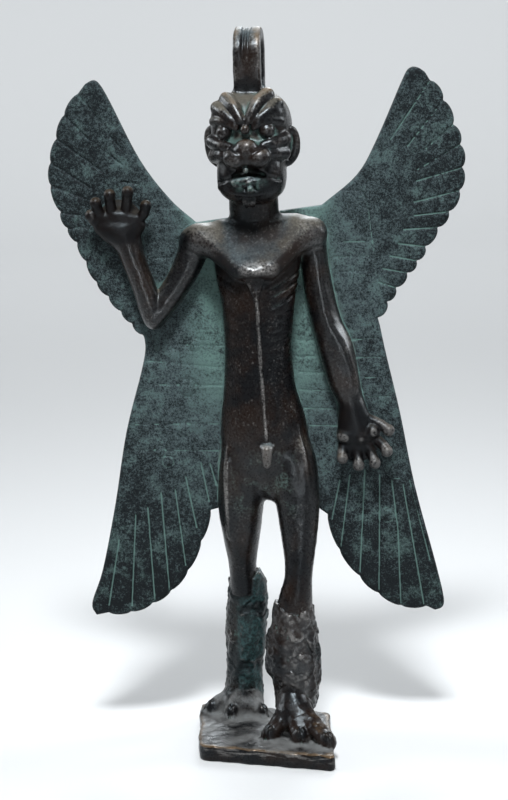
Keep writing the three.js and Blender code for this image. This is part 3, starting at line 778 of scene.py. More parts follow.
def cast_head(casting, sizes):
    """Skull, brows, muzzle, jaw and ears about the head's own middle, turned a little to the left."""
    middle, turn = np.array([0.3, 0.0, 128.0]), -sizes.head_turn_degrees()

    def put(shape, fillet, part=HEAD):
        """Adds a shape in the head's own place."""
        casting.add(part, turned(shape, middle, turn), fillet)

    def carve(shape, fillet):
        """Cuts a shape in the head's own place."""
        casting.cut(turned(shape, middle, turn), fillet)

    put(ball((0, 0.6, 0.9), (8.0, 8.1, 8.3), 2.8), 0.6)
    put(ball((0.1, -1.5, -7.2), (6.9, 6.8, 5.7), 2.8), 0.8)
    put(ball((0, -5.6, -2.9), (5.0, 4.2, 3.0), 2.2), 0.8)
    for side in (-1, 1):
        put(ball((side * 3.5, -3.4, 5.0), (3.9, 3.9, 3.6)), 1.0)
    for x, z in ((-4.5, 1.6), (4.0, 1.9)):
        carve(ball((x, -8.7, z), (2.6, 2.3, 1.9)), 0.6)
        put(ball((x, -6.7, z), 1.6), 0.1)
    for brow, radius in (
        ([(-0.9, -8.1, 3.9), (-1.7, -7.4, 5.2), (-2.8, -6.3, 6.8), (-4.2, -4.3, 7.9)], (0.95, 1.55)),
        ([(0.6, -8.1, 3.9), (1.3, -7.4, 5.5), (2.3, -6.2, 7.3), (3.8, -4.1, 8.5)], (0.95, 1.65)),
        ([(-2.4, -7.8, 3.5), (-3.3, -7.4, 4.3), (-4.9, -6.2, 5.6), (-6.2, -4.2, 6.3)], (0.85, 1.4)),
        ([(2.0, -7.8, 3.5), (2.7, -7.5, 4.2), (4.4, -6.3, 5.7), (5.8, -4.2, 6.9)], (0.85, 1.4)),
        ([(-1.9, -8.0, 2.5), (-3.5, -7.7, 3.3), (-5.4, -6.6, 3.9), (-6.9, -4.6, 3.6)], (0.65, 0.95)),
        ([(1.6, -8.0, 2.5), (2.9, -7.7, 3.4), (4.9, -6.7, 4.0), (6.5, -4.7, 3.5)], (0.65, 0.95)),
    ):
        put(cord(brow, radius), 0.3)
    for fold in (
        [(-3.4, -7.6, -1.2), (-5.2, -6.6, -0.9), (-7.2, -3.8, -0.4)],
        [(-4.0, -7.2, -3.0), (-5.2, -6.3, -2.9), (-6.8, -3.6, -3.2)],
        [(3.4, -7.6, -0.9), (5.0, -6.7, -0.6), (7.0, -3.8, 0.0)],
        [(4.0, -7.2, -2.6), (5.2, -6.3, -2.5), (6.8, -3.6, -2.8)],
    ):
        put(cord(fold, (0.8, 1.55)), 0.3)
    put(ball((-0.1, -8.4, 2.2), (0.95, 1.0, 1.0)), 0.2)
    put(ball((0.1, -9.0, -0.9), (2.1, 1.8, 1.3)), 0.4)
    put(ball((-2.1, -8.9, -3.3), (2.4, 2.2, 2.1)), 0.7)
    put(ball((2.6, -8.9, -3.2), (2.4, 2.2, 2.1)), 0.7)
    put(ball((0.2, -9.8, -1.7), (1.8, 1.3, 1.2)), 0.6)
    carve(cord([(0.3, -11.6, -2.6), (0.35, -10.9, -3.4), (0.4, -9.8, -5.4)], 0.5), 0.25)
    for side in (-1, 1):
        nostril = [(1.2, -11.0, -2.3), (2.4, -10.4, -1.7), (3.4, -9.2, -1.2)]
        carve(cord([(0.3 + side * x, y, z) for x, y, z in nostril], 0.35), 0.25)
    carve(
        strand([
            (-2.9, -8.0, -7.0, 0.4, 1.6),
            (-1.6, -8.8, -6.7, 0.95, 2.2),
            (0.3, -9.2, -6.4, 1.3, 2.8),
            (2.1, -8.9, -6.6, 0.95, 2.2),
            (3.6, -8.0, -6.9, 0.4, 1.6),
        ]),
        0.25,
    )
    carve(cord([(-2.8, -8.5, -7.1), (-4.6, -7.3, -7.9), (-6.2, -5.2, -8.5)], 0.35), 0.4)
    carve(cord([(3.5, -8.3, -7.0), (5.0, -7.2, -7.5), (6.4, -5.2, -7.9)], 0.35), 0.4)
    lip = [
        (-5.6, -4.8, -9.3), (-3.6, -6.6, -9.9), (-1.5, -7.6, -10.3), (0.5, -7.8, -10.5), (2.9, -7.0, -10.1),
        (5.2, -5.2, -9.2),
    ]
    put(cord(lip, 0.8), 0.35)
    tongue = [(-2.4, -7.2, -8.2, 0.95, 1.3), (0.2, -7.9, -8.2, 1.1, 1.5), (2.7, -7.2, -8.3, 1.0, 1.3)]
    put(strand(tongue), 0.2, MOUTH)
    for spot, radius in (
        ((-0.3, -8.7, -5.7), 0.65),
        ((-1.3, -8.2, -9.1), 0.8),
        ((0.7, -8.5, -9.4), 0.9),
        ((2.0, -8.2, -8.9), 0.8),
    ):
        put(ball(spot, radius), 0.2, MOUTH)
    put(ball((5.2, -5.9, -7.0), (0.8, 0.8, 1.0)), 0.2)
    for x in (-0.5, 0.9):
        put(cord([(x, -7.2, -11.0), (x * 0.9, -7.0, -12.2), (x * 0.8, -6.0, -13.0)], (0.8, 0.6)), 0.2)
    left_ear = [(-7.4, -0.8, 2.2), (-8.7, 0.4, 1.2), (-8.9, 0.9, -1.4), (-8.3, 0.9, -3.9), (-7.0, 0.2, -5.0)]
    right_ear = [
        (7.2, -0.8, 1.8), (8.4, 0.2, 1.2), (8.9, 0.8, -0.8), (8.6, 0.8, -3.4), (7.4, 0.3, -4.9),
        (6.5, -0.4, -5.0),
    ]
    for ear, bowl in ((left_ear, -7.9), (right_ear, 7.9)):
        put(cord(ear, (0.8, 0.9)), 0.25)
        put(ball((bowl, 1.6, -1.5), (1.2, 1.6, 3.2)), 0.3)


def loop_strap(sizes):
    """The carrying loop: the distance to an upright oval line, less half the strap's thickness, closed off at
    the sides. Two grooves in its outer face fade towards the crown."""
    half_width, wall, rounding = 2.75, 1.25, 0.6
    radius, straight = 4.25, 2.0
    grooves, groove_width, groove_depth = (-0.75, 0.25), 0.3, 0.6

    def distance(x, y, z):
        run = z - np.clip(z, -straight, straight)
        around = np.sqrt(y * y + run * run) - radius
        fade = np.clip((z - 0.5) / 3.5, 0, 1)
        groove = groove_depth * fade * sum(np.exp(-(((x - at) / groove_width) ** 2)) for at in grooves)
        thick = np.abs(around) - wall + groove * (around > 0) + rounding
        return rounded(thick, np.abs(x) - half_width + rounding, rounding)

    reach = radius + wall
    low = np.array([-half_width, -reach, -straight - reach])
    centre = np.array([0.2, 2.0, 142.5])
    return turned(Shape(low, -low, distance), centre, -0.75 * sizes.head_turn_degrees())


# Plinth


def plinth_block():
    """The plinth: a rounded plate that is sheared, so that its right side stands further forward, with sides
    worn in slow waves."""
    half = np.array([13.95, 13.9])
    skew, thick, corner, rounding = 8.7, 3.3, 1.6, 0.55

    def distance(x, y, z):
        shear = y + skew * x / (2 * half[0])
        u, v = np.abs(x) - half[0] + corner, np.abs(shear) - half[1] + corner
        worn = 0.12 * np.sin(0.9 * x + 0.4 * y) + 0.1 * np.sin(0.5 * y - 1.3 * x)
        plan = rounded(u, v, corner) + rounding + worn
        return rounded(plan, np.abs(z - thick / 2) - thick / 2 + rounding, rounding)

    low = np.array([-half[0], -half[1] - skew / 2, 0])
    return Shape(low, np.array([half[0], half[1] + skew / 2, thick]), distance)


# From the field to the mesh


def roughen(casting):
    """Moves the field near its surface: a faint unevenness all over, lumps on the shanks, and flakes on the
    front one. The depth is a table by part, and fades out towards the plinth's underside."""
    near_surface = 0.9
    band = np.argwhere(np.abs(casting.field) < near_surface)
    points = (casting.low + band * casting.step).astype(np.float32)
    place = tuple(band.T)
    part = casting.part[place]
    uneven = np.zeros(MOUTH + 1, np.float32)
    uneven[[BODY, HEAD, LOOP]] = 0.025
    uneven[[BACK_SHANK, FRONT_SHANK, MOUTH]] = 0.12
    uneven[[FOOT, PLINTH]] = 0.06
    shift = uneven[part] * (ripple(points, 3.0, 1) + 0.6 * ripple(points, 1.3, 2))
    for number, count, depth in ((FRONT_SHANK, 420, 0.2), (BACK_SHANK, 200, 0.12)):
        chosen = part == number
        shift[chosen] += depth * flakes(points[chosen], count, number)
    low = np.clip((points[:, 2] - 0.4) / 1.5, 0, 1)
    casting.field[place] += shift * low


def unpinched(field):
    """Closes up metal that meets only along a line. On every square of four grid points with metal at two
    opposite corners only, the other two become metal just under the surface, until no such square is left."""
    just_under = np.float32(-0.02)
    metal = field < 0
    while True:
        filled = metal.copy()
        for u, v in ((0, 1), (0, 2), (1, 2)):
            old, new = np.moveaxis(metal, (u, v), (0, 1)), np.moveaxis(filled, (u, v), (0, 1))
            a, b, c, d = old[:-1, :-1], old[1:, :-1], old[:-1, 1:], old[1:, 1:]
            pinched = (a == d) & (b == c) & (a != b)
            for corner in (new[:-1, :-1], new[1:, :-1], new[:-1, 1:], new[1:, 1:]):
                corner |= pinched
        if (filled == metal).all():
            return np.where(filled & (field >= 0), just_under, field)
        metal = filled


def surface(field):
    """Surface nets: a vertex in every grid cell that the surface crosses, at the mean of the crossings on the
    cell's edges, and a quad round every grid edge that it crosses."""
    inside = field < 0
    cells = tuple(n - 1 for n in field.shape)
    count = np.zeros(cells, np.uint8)
    corners = list(np.ndindex(2, 2, 2))
    for a, b, c in corners:
        count += inside[a : a + cells[0], b : b + cells[1], c : c + cells[2]]
    crossed = np.argwhere((count > 0) & (count < 8))
    index = np.full(cells, -1, np.int32)
    index[tuple(crossed.T)] = np.arange(len(crossed))
    values = {corner: field[tuple((crossed + corner).T)] for corner in corners}
    total = np.zeros((len(crossed), 3), np.float32)
    hits = np.zeros((len(crossed), 1), np.float32)
    for corner in corners:
        for axis in range(3):
            if corner[axis]:
                continue
            other = tuple(1 if k == axis else v for k, v in enumerate(corner))
            a, b = values[corner], values[other]
            cross = (a < 0) != (b < 0)
            share = np.where(cross, a / np.where(cross, a - b, 1), 0)
            spot = np.array(corner, np.float32) * np.ones_like(total)
            spot[:, axis] = share
            total += spot * cross[:, None]
            hits += cross[:, None]
    vertices = crossed + total / hits
    quads = []
    for axis in range(3):
        u, v = (axis + 1) % 3, (axis + 2) % 3
        near = np.moveaxis(inside, axis, 0)
        at = np.argwhere(np.moveaxis(near[:-1] != near[1:], 0, axis))
        at = at[(at[:, u] > 0) & (at[:, v] > 0)]
        step_u, step_v = np.eye(3, dtype=int)[u], np.eye(3, dtype=int)[v]
        ring = [at - step_u - step_v, at - step_v, at, at - step_u]
        quad = np.stack([index[tuple(cell.T)] for cell in ring], 1)
        outward = inside[tuple(at.T)]
        quads.append(np.where(outward[:, None], quad, quad[:, ::-1]))
    return vertices, np.vstack(quads)


def one_shell(vertices, quads):
    """Keeps the largest closed surface. Each vertex takes the lowest number among its faces' corners, over
    and over, until every shell has one number."""
    number = np.arange(len(vertices))
    while True:
        lowest = number.copy()
        np.minimum.at(lowest, quads.ravel(), np.repeat(number[quads].min(1), 4))
        lowest = lowest[lowest]
        if (lowest == number).all():
            break
        number = lowest
    kept = number == np.bincount(number).argmax()
    return vertices[kept], (np.cumsum(kept) - 1)[quads[kept[quads[:, 0]]]]


def halfway(values, ends, rounds):
    """Moves each row of values half way to the mean of its neighbours, a few times over. The ends pair each
    vertex with a neighbour."""
    count = len(values)
    near = np.bincount(ends[:, 0], minlength=count)[:, None]
    for _ in range(rounds):
        total = np.stack([np.bincount(ends[:, 0], one[ends[:, 1]], count) for one in values.T], 1)
        values = (values + total / near) / 2
    return values


def relaxed(vertices, quads, rounds):
    """Evens out the grid's steps: each vertex moves towards the ones along its quads' sides."""
    ends = np.vstack([quads[:, [0, 1]], quads[:, [1, 2]], quads[:, [2, 3]], quads[:, [3, 0]]])
    return halfway(vertices, ends, rounds)


def blurred(field, reach):
    """The mean over a cube of reach steps to each side, taken along one axis at a time by running sums."""
    for axis in range(3):
        padding = [(reach + 1, reach) if k == axis else (0, 0) for k in range(3)]
        total = np.moveaxis(np.cumsum(np.pad(field, padding, mode="edge"), axis, dtype=np.float32), axis, 0)
        field = np.moveaxis((total[2 * reach + 1 :] - total[: -2 * reach - 1]) / (2 * reach + 1), 0, axis)
    return field


def mesh_from(name, vertices, quads):
    """A mesh from an array of corners and an array of the four corners' numbers of each face."""
    mesh = bpy.data.meshes.new(name)
    mesh.vertices.add(len(vertices))
    mesh.vertices.foreach_set("co", vertices.astype(np.float32).ravel())
    mesh.loops.add(quads.size)
    mesh.loops.foreach_set("vertex_index", quads.astype(np.int32).ravel())
    mesh.polygons.add(len(quads))
    mesh.polygons.foreach_set("loop_start", np.arange(0, quads.size, quads.shape[1], dtype=np.int32))
    mesh.update(calc_edges=True)
    return mesh


def thinned(piece, triangles):
    """Collapses edges until about that many triangles are left, most where the surface is flat."""
    modifier = piece.modifiers.new("thin", "DECIMATE")
    modifier.ratio = triangles / (2 * len(piece.data.polygons))
    modifier.use_collapse_triangulate = True
    mesh = bpy.data.meshes.new_from_object(piece.evaluated_get(bpy.context.evaluated_depsgraph_get()))
    piece.modifiers.clear()
    old = piece.data
    piece.data = mesh
    bpy.data.meshes.remove(old)


def give(mesh, name, values):
    """A number at each vertex that the patina reads."""
    mesh.attributes.new(name, "FLOAT", "POINT").data.foreach_set("value", values.astype(np.float32))


def softened(mesh, values, rounds):
    """Blends a number over the mesh: each vertex moves towards its neighbours' mean, a few times over."""
    edges = np.empty(len(mesh.edges) * 2, np.int32)
    mesh.edges.foreach_get("vertices", edges)
    ends = edges.reshape(-1, 2)
    return halfway(values[:, None], np.vstack([ends, ends[:, ::-1]]), rounds)[:, 0]


def mark_surface(mesh, casting):
    """Writes what the patina needs at each vertex. The field's mean near by tells lines and hollows, where it
    is below nought because metal closes in round the point, from edges and crests, where the metal falls
    away. The first of each pair looks close by and the second further. The rest says which part it is."""
    close_by, further = 2, 8
    deep_line, deep_hollow, edge_start, sharp_edge, high_crest = 0.12, 0.55, 0.03, 0.12, 0.7
    points = np.empty(len(mesh.vertices) * 3, np.float32)
    mesh.vertices.foreach_get("co", points)
    points = points.reshape(-1, 3) / MM
    field = np.clip(casting.field, -FAR, FAR)
    fine = casting.sample(blurred(field, close_by), points)
    broad = casting.sample(blurred(field, further), points)
    give(mesh, "line", np.clip(-fine / deep_line, 0, 1))
    give(mesh, "edge", np.clip((fine - edge_start) / sharp_edge, 0, 1))
    give(mesh, "hollow", np.clip(-broad / deep_hollow, 0, 1))
    give(mesh, "crest", np.clip(broad / high_crest, 0, 1))
    near = tuple(np.rint((points - casting.low) / casting.step).astype(int).T)
    part = casting.part[near]
    for name, numbers in (
        ("wing", (WING,)),
        ("back_shank", (BACK_SHANK,)),
        ("front_shank", (FRONT_SHANK,)),
        ("ground", (PLINTH, FOOT)),
        ("claw", (CLAW,)),
        ("mouth", (MOUTH,)),
        ("head", (HEAD,)),
    ):
        give(mesh, name, softened(mesh, np.isin(part, numbers).astype(float), 2))
    normals = np.stack([casting.sample(slope, points) for slope in np.gradient(field)], 1)
    normals /= np.linalg.norm(normals, axis=1)[:, None] + 1e-9
    give(mesh, "upward", np.clip(normals[:, 2], 0, 1))
    mesh.normals_split_custom_set_from_vertices(normals.astype(np.float32))


def build_figure(sizes):
    """Casts every part into one field, and makes its surface the figure's mesh."""
    low, high = (np.array(corner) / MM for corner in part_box("pazuzu_figure"))
    casting = Casting(low - MARGIN, high + MARGIN, sizes.step / MM)
    casting.add(PLINTH, plinth_block(), 0.3)
    casting.add(WING, wing_plate(sizes), 0.3)
    cast_trunk(casting)
    cast_arms(casting)
    cast_legs(casting)
    cast_head(casting, sizes)
    casting.add(LOOP, loop_strap(sizes), 1.8)
    roughen(casting)
    casting.field = unpinched(casting.field)
    vertices, quads = surface(casting.field)
    if not len(quads):
        raise RuntimeError("The casting has no surface")
    vertices, quads = one_shell(vertices, quads)
    vertices = casting.low + relaxed(vertices, quads, 1) * casting.step
    piece = bpy.data.objects.new("pazuzu_bronze", mesh_from("pazuzu_bronze", vertices * MM, quads))
    bpy.context.scene.collection.objects.link(piece)
    thinned(piece, sizes.triangles)
    piece.data.shade_smooth()
    mark_surface(piece.data, casting)
    return piece


# Shader maths


class Wire:
    """One output of a shader tree. Sums, differences and products of wires add Math nodes to the tree."""

    def __init__(self, tree, socket=None):
        self.tree, self.socket = tree, socket

    def node(self, kind, settings=(), sockets=(), out=0):
        """Adds a node: its settings first, then the values or links of its sockets."""
        node = self.tree.nodes.new(kind)
        for name, value in dict(settings).items():
            setattr(node, name, value)
        for name, value in dict(sockets).items():
            if isinstance(value, Wire):
                self.tree.links.new(value.socket, node.inputs[name])
            else:
                node.inputs[name].default_value = value
        return Wire(self.tree, node.outputs[out]) if node.outputs else None

    def math(self, operation, a, b=0.0, clamp=False):
        """A Math node on two wires or numbers."""
        return self.node("ShaderNodeMath", {"operation": operation, "use_clamp": clamp}, {0: a, 1: b})

    def __add__(self, other):
        return self.math("ADD", self, other)

    def __radd__(self, other):
        return self.math("ADD", other, self)

    def __sub__(self, other):
        return self.math("SUBTRACT", self, other)

    def __rsub__(self, other):
        return self.math("SUBTRACT", other, self)

    def __mul__(self, other):
        return self.math("MULTIPLY", self, other)

    def __rmul__(self, other):
        return self.math("MULTIPLY", other, self)

    def clamped(self):
        """The value held between nought and one."""
        return self.math("ADD", self, 0.0, True)

    def between(self, low, high):
        """Nought at low, one at high and a smooth step between. It falls where low is the greater."""
        return self.node(
            "ShaderNodeMapRange",
            {"interpolation_type": "SMOOTHSTEP"},
            {"Value": self, "From Min": low, "From Max": high},
        )


def blank(name):
    """A new material, and the start of its empty shader tree."""
    material = bpy.data.materials.new(name)
    material.use_nodes = True
    material.node_tree.nodes.clear()
    return material, Wire(material.node_tree)


def rgba(colour):
    """A colour with full cover."""
    return (*colour, 1.0)


def bronze(patina):
    """Dark bronze under its patina. Each layer is a colour laid over the last by a mask: a grey layer on what
    faces up, partly a film and partly painted light from above, ochre and rubbed metal on crests, painted
    highlights on the breastbone, shoulders, thighs, plinth sides and front shank, grain on the wings with
    painted shade low down and painted highlights on their rims, green in lines and hollows, and dust on the
    plinth. A mask is a product of smooth steps over the marks, the grains and the place, in metres."""
    material, sheet = blank("bronze_patina_and_light")
    place = sheet.node("ShaderNodeTexCoord", out="Object")

    def grain(size, detail=3.0, roughness=0.55, where=place):
        """Noise whose lumps are about that many metres across."""
        sockets = {"Vector": where, "Scale": 1 / size, "Detail": detail, "Roughness": roughness}
        return sheet.node("ShaderNodeTexNoise", {"noise_dimensions": "3D"}, sockets, "Fac")

    def mark(name):
        """A number that the mesh holds at each vertex."""
        return sheet.node("ShaderNodeAttribute", {"attribute_name": name}, out="Fac")

    def lay(under, over, mask):
        """One colour over another, by a mask."""
        return sheet.node("ShaderNodeMix", {"data_type": "RGBA"}, {0: mask, 6: under, 7: over}, 2)

    line, hollow, edge, crest = mark("line"), mark("hollow"), mark("edge"), mark("crest")
    wing, ground, mouth, claw = mark("wing"), mark("ground"), mark("mouth"), mark("claw")
    back_shank, front_shank = mark("back_shank"), mark("front_shank")
    head, upward = mark("head"), mark("upward")
    x, y, z = (sheet.node("ShaderNodeSeparateXYZ", {}, {"Vector": place}, axis) for axis in "XYZ")
    clouds, patches = grain(0.012, 3.0), grain(0.0045, 4.0, 0.6)
    mottle, grit, speck = grain(0.0016, 4.0, 0.65), grain(0.0005, 3.0, 0.6), grain(0.0002, 2.0)
    # Stretched noise for the painted highlight streaks on the plinth's sides
    highlight_streaks = sheet.node("ShaderNodeMapping", {}, {"Vector": place, "Scale": (0.2, 0.2, 1.0)})
    highlight_streaks = grain(0.0007, 4.0, 0.65, highlight_streaks)

    # Places on the figure
    body = 1 - wing
    across = sheet.math("ABSOLUTE", x - 0.001)
    hands = sheet.math("MAXIMUM", z.between(0.105, 0.108), z.between(0.074, 0.071))
    hands = across.between(0.0148, 0.0165) * hands
    limbs = across.between(0.0085, 0.0115) * z.between(0.06, 0.066)
    chest = across.between(0.011, 0.006) * z.between(0.0995, 0.102) * z.between(0.112, 0.109)
    face = head * z.between(0.1335, 0.1305)
    loins = y.between(-0.0035, -0.0045) * z.between(0.058, 0.06) * z.between(0.068, 0.066)
    # The breastbone's front edge, where a painted highlight is laid
    sternum = across.between(0.0046, 0.0024) * y.between(-0.004, -0.005)
    sternum = sternum * z.between(0.1, 0.1017) * z.between(0.1042, 0.1024)
    # Shoulder fronts, where a painted highlight is laid
    shoulder_highlight = across.between(0.0075, 0.0095) * across.between(0.0145, 0.0125)
    shoulder_highlight = shoulder_highlight * z.between(0.1035, 0.1055) * y.between(0.004, 0.002)
    # The thighs, where painted highlight lines and gloss are laid
    thighs = z.between(0.04, 0.046) * z.between(0.072, 0.066) * body
    groin = body * across.between(0.008, 0.004) * z.between(0.049, 0.053) * z.between(0.065, 0.061)
    # The middle of the front shank, where painted highlights and gloss are laid
    band = x.between(0.0035, 0.005) * x.between(0.0105, 0.0085)
    # The plinth's sides, where painted highlight streaks are laid
    skirting = ground * z.between(0.0036, 0.003)

    # Dark and brown metal, and a grey layer on what faces up: partly a film, partly painted light from above
    colour = lay(rgba(patina.dark), rgba(patina.brown), (clouds * 0.6 + patches * 0.4).between(0.42, 0.6))
    # Lighter on what faces up: a grey film and painted light from above
    film_and_top_light = (upward * 1.1 + 0.8 * (patches - 0.5) + 1.1 * (grit - 0.5)).between(0.3, 1.0) * body
    film_and_top_light = film_and_top_light * z.between(0.03, 0.05) * (1 - face) * (1 - 0.8 * hands) * (1 - 0.45 * chest)
    earth = clouds + 0.5 * patches + 0.35 * head + 0.3 * across.between(0.005, 0.009)
    film_and_light = lay(rgba(patina.film_and_light), rgba(patina.tan), earth.between(0.7, 0.95))
    colour = lay(colour, rgba(patina.dark), hands * 0.65)
    colour = lay(colour, film_and_light, film_and_top_light * 0.85)

    # Worn crests, rubbed metal on crests and edges, and painted highlights on the breastbone, shoulders,
    # thighs, plinth sides and front shank
    worn = (crest * (0.2 + upward) + 0.4 * (mottle - 0.5) + 0.9 * (clouds - 0.5)).between(0.35, 0.85) * body
    worn = worn * (1 - 0.85 * hands) * (1 - 0.7 * face) * (1 - 0.8 * loins)
    colour = lay(colour, rgba(patina.ochre), worn * 0.6)
    ridge = crest * (1 - 0.8 * crest.between(0.65, 0.95))
    # This mask is partly rubbed metal on ridges and edges and partly painted highlights, all laid in one pale
    # metal colour
    rubbed_and_highlight = ridge * (0.7 + 0.4 * upward) + edge * 0.3 - 0.5 * ground
    rubbed_and_highlight = rubbed_and_highlight + (grit - 0.5) + 0.9 * (patches - 0.5)
    fleck = grit.between(0.56, 0.72) * patches.between(0.42, 0.6)
    rubbed_and_highlight = rubbed_and_highlight.between(0.4, 0.95) * (1 - 0.8 * hands) + 0.35 * fleck * (1 - ground) * (1 - hands)
    # On the front shank only a middle band keeps the mask, and painted highlights run along its flakes' edges
    rubbed_and_highlight = rubbed_and_highlight * (1 - front_shank * (0.9 - 0.5 * band))
    rubbed_and_highlight = rubbed_and_highlight + 0.2 * shoulder_highlight * grit.between(0.35, 0.6) + 0.8 * front_shank * band * edge
    # Less rubbed metal and highlight on the loins, and painted highlight lines along the thighs' ridges
    rubbed_and_highlight = rubbed_and_highlight * (1 - 0.6 * loins) + 0.5 * thighs * crest.between(0.4, 0.62) * grit.between(0.3, 0.55)
    # A painted highlight on the breastbone
    rubbed_and_highlight = rubbed_and_highlight + 0.8 * sternum * grit.between(0.3, 0.6)
    # Painted highlight streaks on the plinth's sides
    rubbed_and_highlight = rubbed_and_highlight + 0.7 * skirting * highlight_streaks.between(0.48, 0.64) * z.between(0.001, 0.0024)
    rubbed_and_highlight = rubbed_and_highlight.clamped() * body * (1 - 0.5 * worn) * (1 - 0.5 * head)
    colour = lay(colour, rgba(patina.bare_and_highlight), rubbed_and_highlight * 0.6)

    # Grain and bloom of the wings, painted shade low down on them, and painted highlights on their rims
    inner = across.between(0.036, 0.013) * z.between(0.04, 0.075)
    pale = grit * 0.8 + speck * 0.75 + mottle * 0.5 + patches * 0.45
    # Painted shade: the height term makes the wings darker towards the bottom
    pale = pale + inner * 0.14 + 0.1 * z.between(0.028, 0.06) - 0.88
    wing_tone = lay(rgba(patina.wing_dark), rgba(patina.wing_light), pale.between(0.34, 0.76))
    bloom = (patches + 0.7 * mottle + 0.3 * grit).between(1.0, 1.25) * 0.22
    wing_tone = lay(wing_tone, rgba(patina.green), bloom)
    front_face = y.between(0.0092, 0.0082)
    sheltered = across.between(0.018, 0.0095) * z.between(0.066, 0.085) * (0.2 + 0.8 * front_face)
    sheltered = sheltered * (0.7 * patches + 0.7 * grit).between(0.4, 0.85)
    wing_tone = lay(wing_tone, rgba(patina.green), sheltered)
    # Painted highlights on the wings' rounded edges, in the grey film colour
    rim = (edge + 0.8 * (grit - 0.5) + 0.8 * (patches - 0.5)).between(0.5, 1.0)
    wing_tone = lay(wing_tone, rgba(patina.film_and_light), rim)
    colour = lay(colour, wing_tone, wing)

    # Crust on the back shank, green in lines and hollows, and dust
    crust = back_shank * (patches.between(0.4, 0.56) * x.between(-0.0058, -0.0048) + 0.25 * mottle)
    colour = lay(colour, rgba(patina.shank), crust.clamped() * (0.3 + 0.7 * grit.between(0.4, 0.6)))
    greener = sheet.math("MAXIMUM", x.between(-0.006, 0.006), 1 - z.between(0.084, 0.09))
    caked = 0.3 + 0.3 * wing + 0.7 * head * z.between(0.1245, 0.126)
    filled = line * (0.35 + 0.65 * greener) * (0.5 + 0.5 * wing) + hollow * caked * (1 - front_shank)
    green = (filled + 0.6 * (mottle - 0.5) + 0.5 * (patches - 0.5)).between(0.36, 0.8)
    groin = 0.5 * groin * patches.between(0.46, 0.58) * grit.between(0.4, 0.65) * (1 - loins)
    green = (green * (0.6 + 0.4 * wing) + groin + mouth * 0.7 * mottle.between(0.4, 0.65)).clamped()
    earth = (clouds + hollow * 0.3 - line * 0.4).between(0.5, 0.7)
    crusted = lay(rgba(patina.green), rgba(patina.tan), earth)
    colour = lay(colour, crusted, green * 0.75)
    low = 1 - z.between(0.0042, 0.007) * y.between(0.003, 0.001)
    low = low - z.between(0.009, 0.014) * y.between(0.001, 0.003)
    rear = y.between(0.004, 0.006) * z.between(0.0034, 0.004)
    dust = upward * 0.6 + hollow + rear * 0.45 + 1.6 * (patches - 0.5) + clouds - 0.5
    dust = dust + 0.5 * (grit - 0.5)
    dust = dust.between(0.25, 1.1) * ground * low * (upward + rear).between(0.05, 0.4)
    colour = lay(colour, rgba(patina.dust), dust * 0.9)
    colour = lay(colour, rgba(patina.dark), claw * 0.9)

    # Roughness, gloss and relief
    dull = wing * 0.8 + green * 0.6 + dust * 0.9 + crust * 0.5 + film_and_top_light * 0.6
    dull = (dull + chest * (1 - sternum) + hands * 0.4).clamped()
    rough = (0.3 - 0.08 * front_shank + 0.3 * dull + 0.2 * (mottle - 0.5) + 0.4 * (grit - 0.5)).clamped()
    gloss = 0.12 + 0.6 * limbs + 0.7 * front_shank * band + 0.25 * z.between(0.118, 0.122) + 0.25 * thighs
    gloss = body * gloss * (1 - dull) * (1 - 0.9 * hands)
    gloss = (gloss * (0.3 + 1.4 * grit)).clamped()
    metal = (worn * 0.4 + rubbed_and_highlight * 0.8).clamped() * (1 - 0.8 * dull)
    lumps = 0.25 + 0.6 * wing + back_shank + front_shank
    height = mottle * lumps + grit * (0.25 + 0.45 * wing) + speck * 0.12
    bump = sheet.node("ShaderNodeBump", {}, {"Strength": 0.5, "Distance": 0.0003, "Height": height})
    skin = sheet.node("ShaderNodeBsdfPrincipled", {}, {
        "Base Color": colour,
        "Roughness": rough,
        "Metallic": metal,
        "Coat Weight": gloss,
        "Normal": bump,
        "Specular Tint": rgba(patina.glint),
        "Specular IOR Level": 0.15,
        "Coat Roughness": 0.34,
    })
    sheet.node("ShaderNodeOutputMaterial", {}, {"Surface": skin})
    return material


# Stage

# Softboxes: name, place, aim, width and height, power in watts, and beam in degrees
FIGURE_MIDDLE, WALL_FOOT = (0, 0, 0.08), (0, 1.2, 0.1)
SOFTBOXES = (
    ("top_box", (-0.02, -0.42, 0.67), FIGURE_MIDDLE, (0.14, 0.12), 0.95, 60),
    ("front_box", (0.05, -0.7, 0.06), FIGURE_MIDDLE, (0.12, 0.1), 0.04, 40),
    ("left_box", (-0.5, -0.42, 0.25), FIGURE_MIDDLE, (0.03, 0.5), 0.025, 90),
    ("right_box", (0.5, -0.36, 0.25), FIGURE_MIDDLE, (0.03, 0.5), 0.08, 90),
    ("side_box_left", (-0.75, 0.2, 0.4), FIGURE_MIDDLE, (0.3, 0.4), 0.3, 40),
    ("side_box_right", (0.75, 0.2, 0.4), FIGURE_MIDDLE, (0.3, 0.4), 0.3, 40),
    ("back_box", (0.1, 0.75, 0.6), FIGURE_MIDDLE, (0.4, 0.4), 0.4, 40),
    ("wall_box", (0.0, 0.25, 1.2), WALL_FOOT, (1.4, 0.3), 11.0, 110),
)


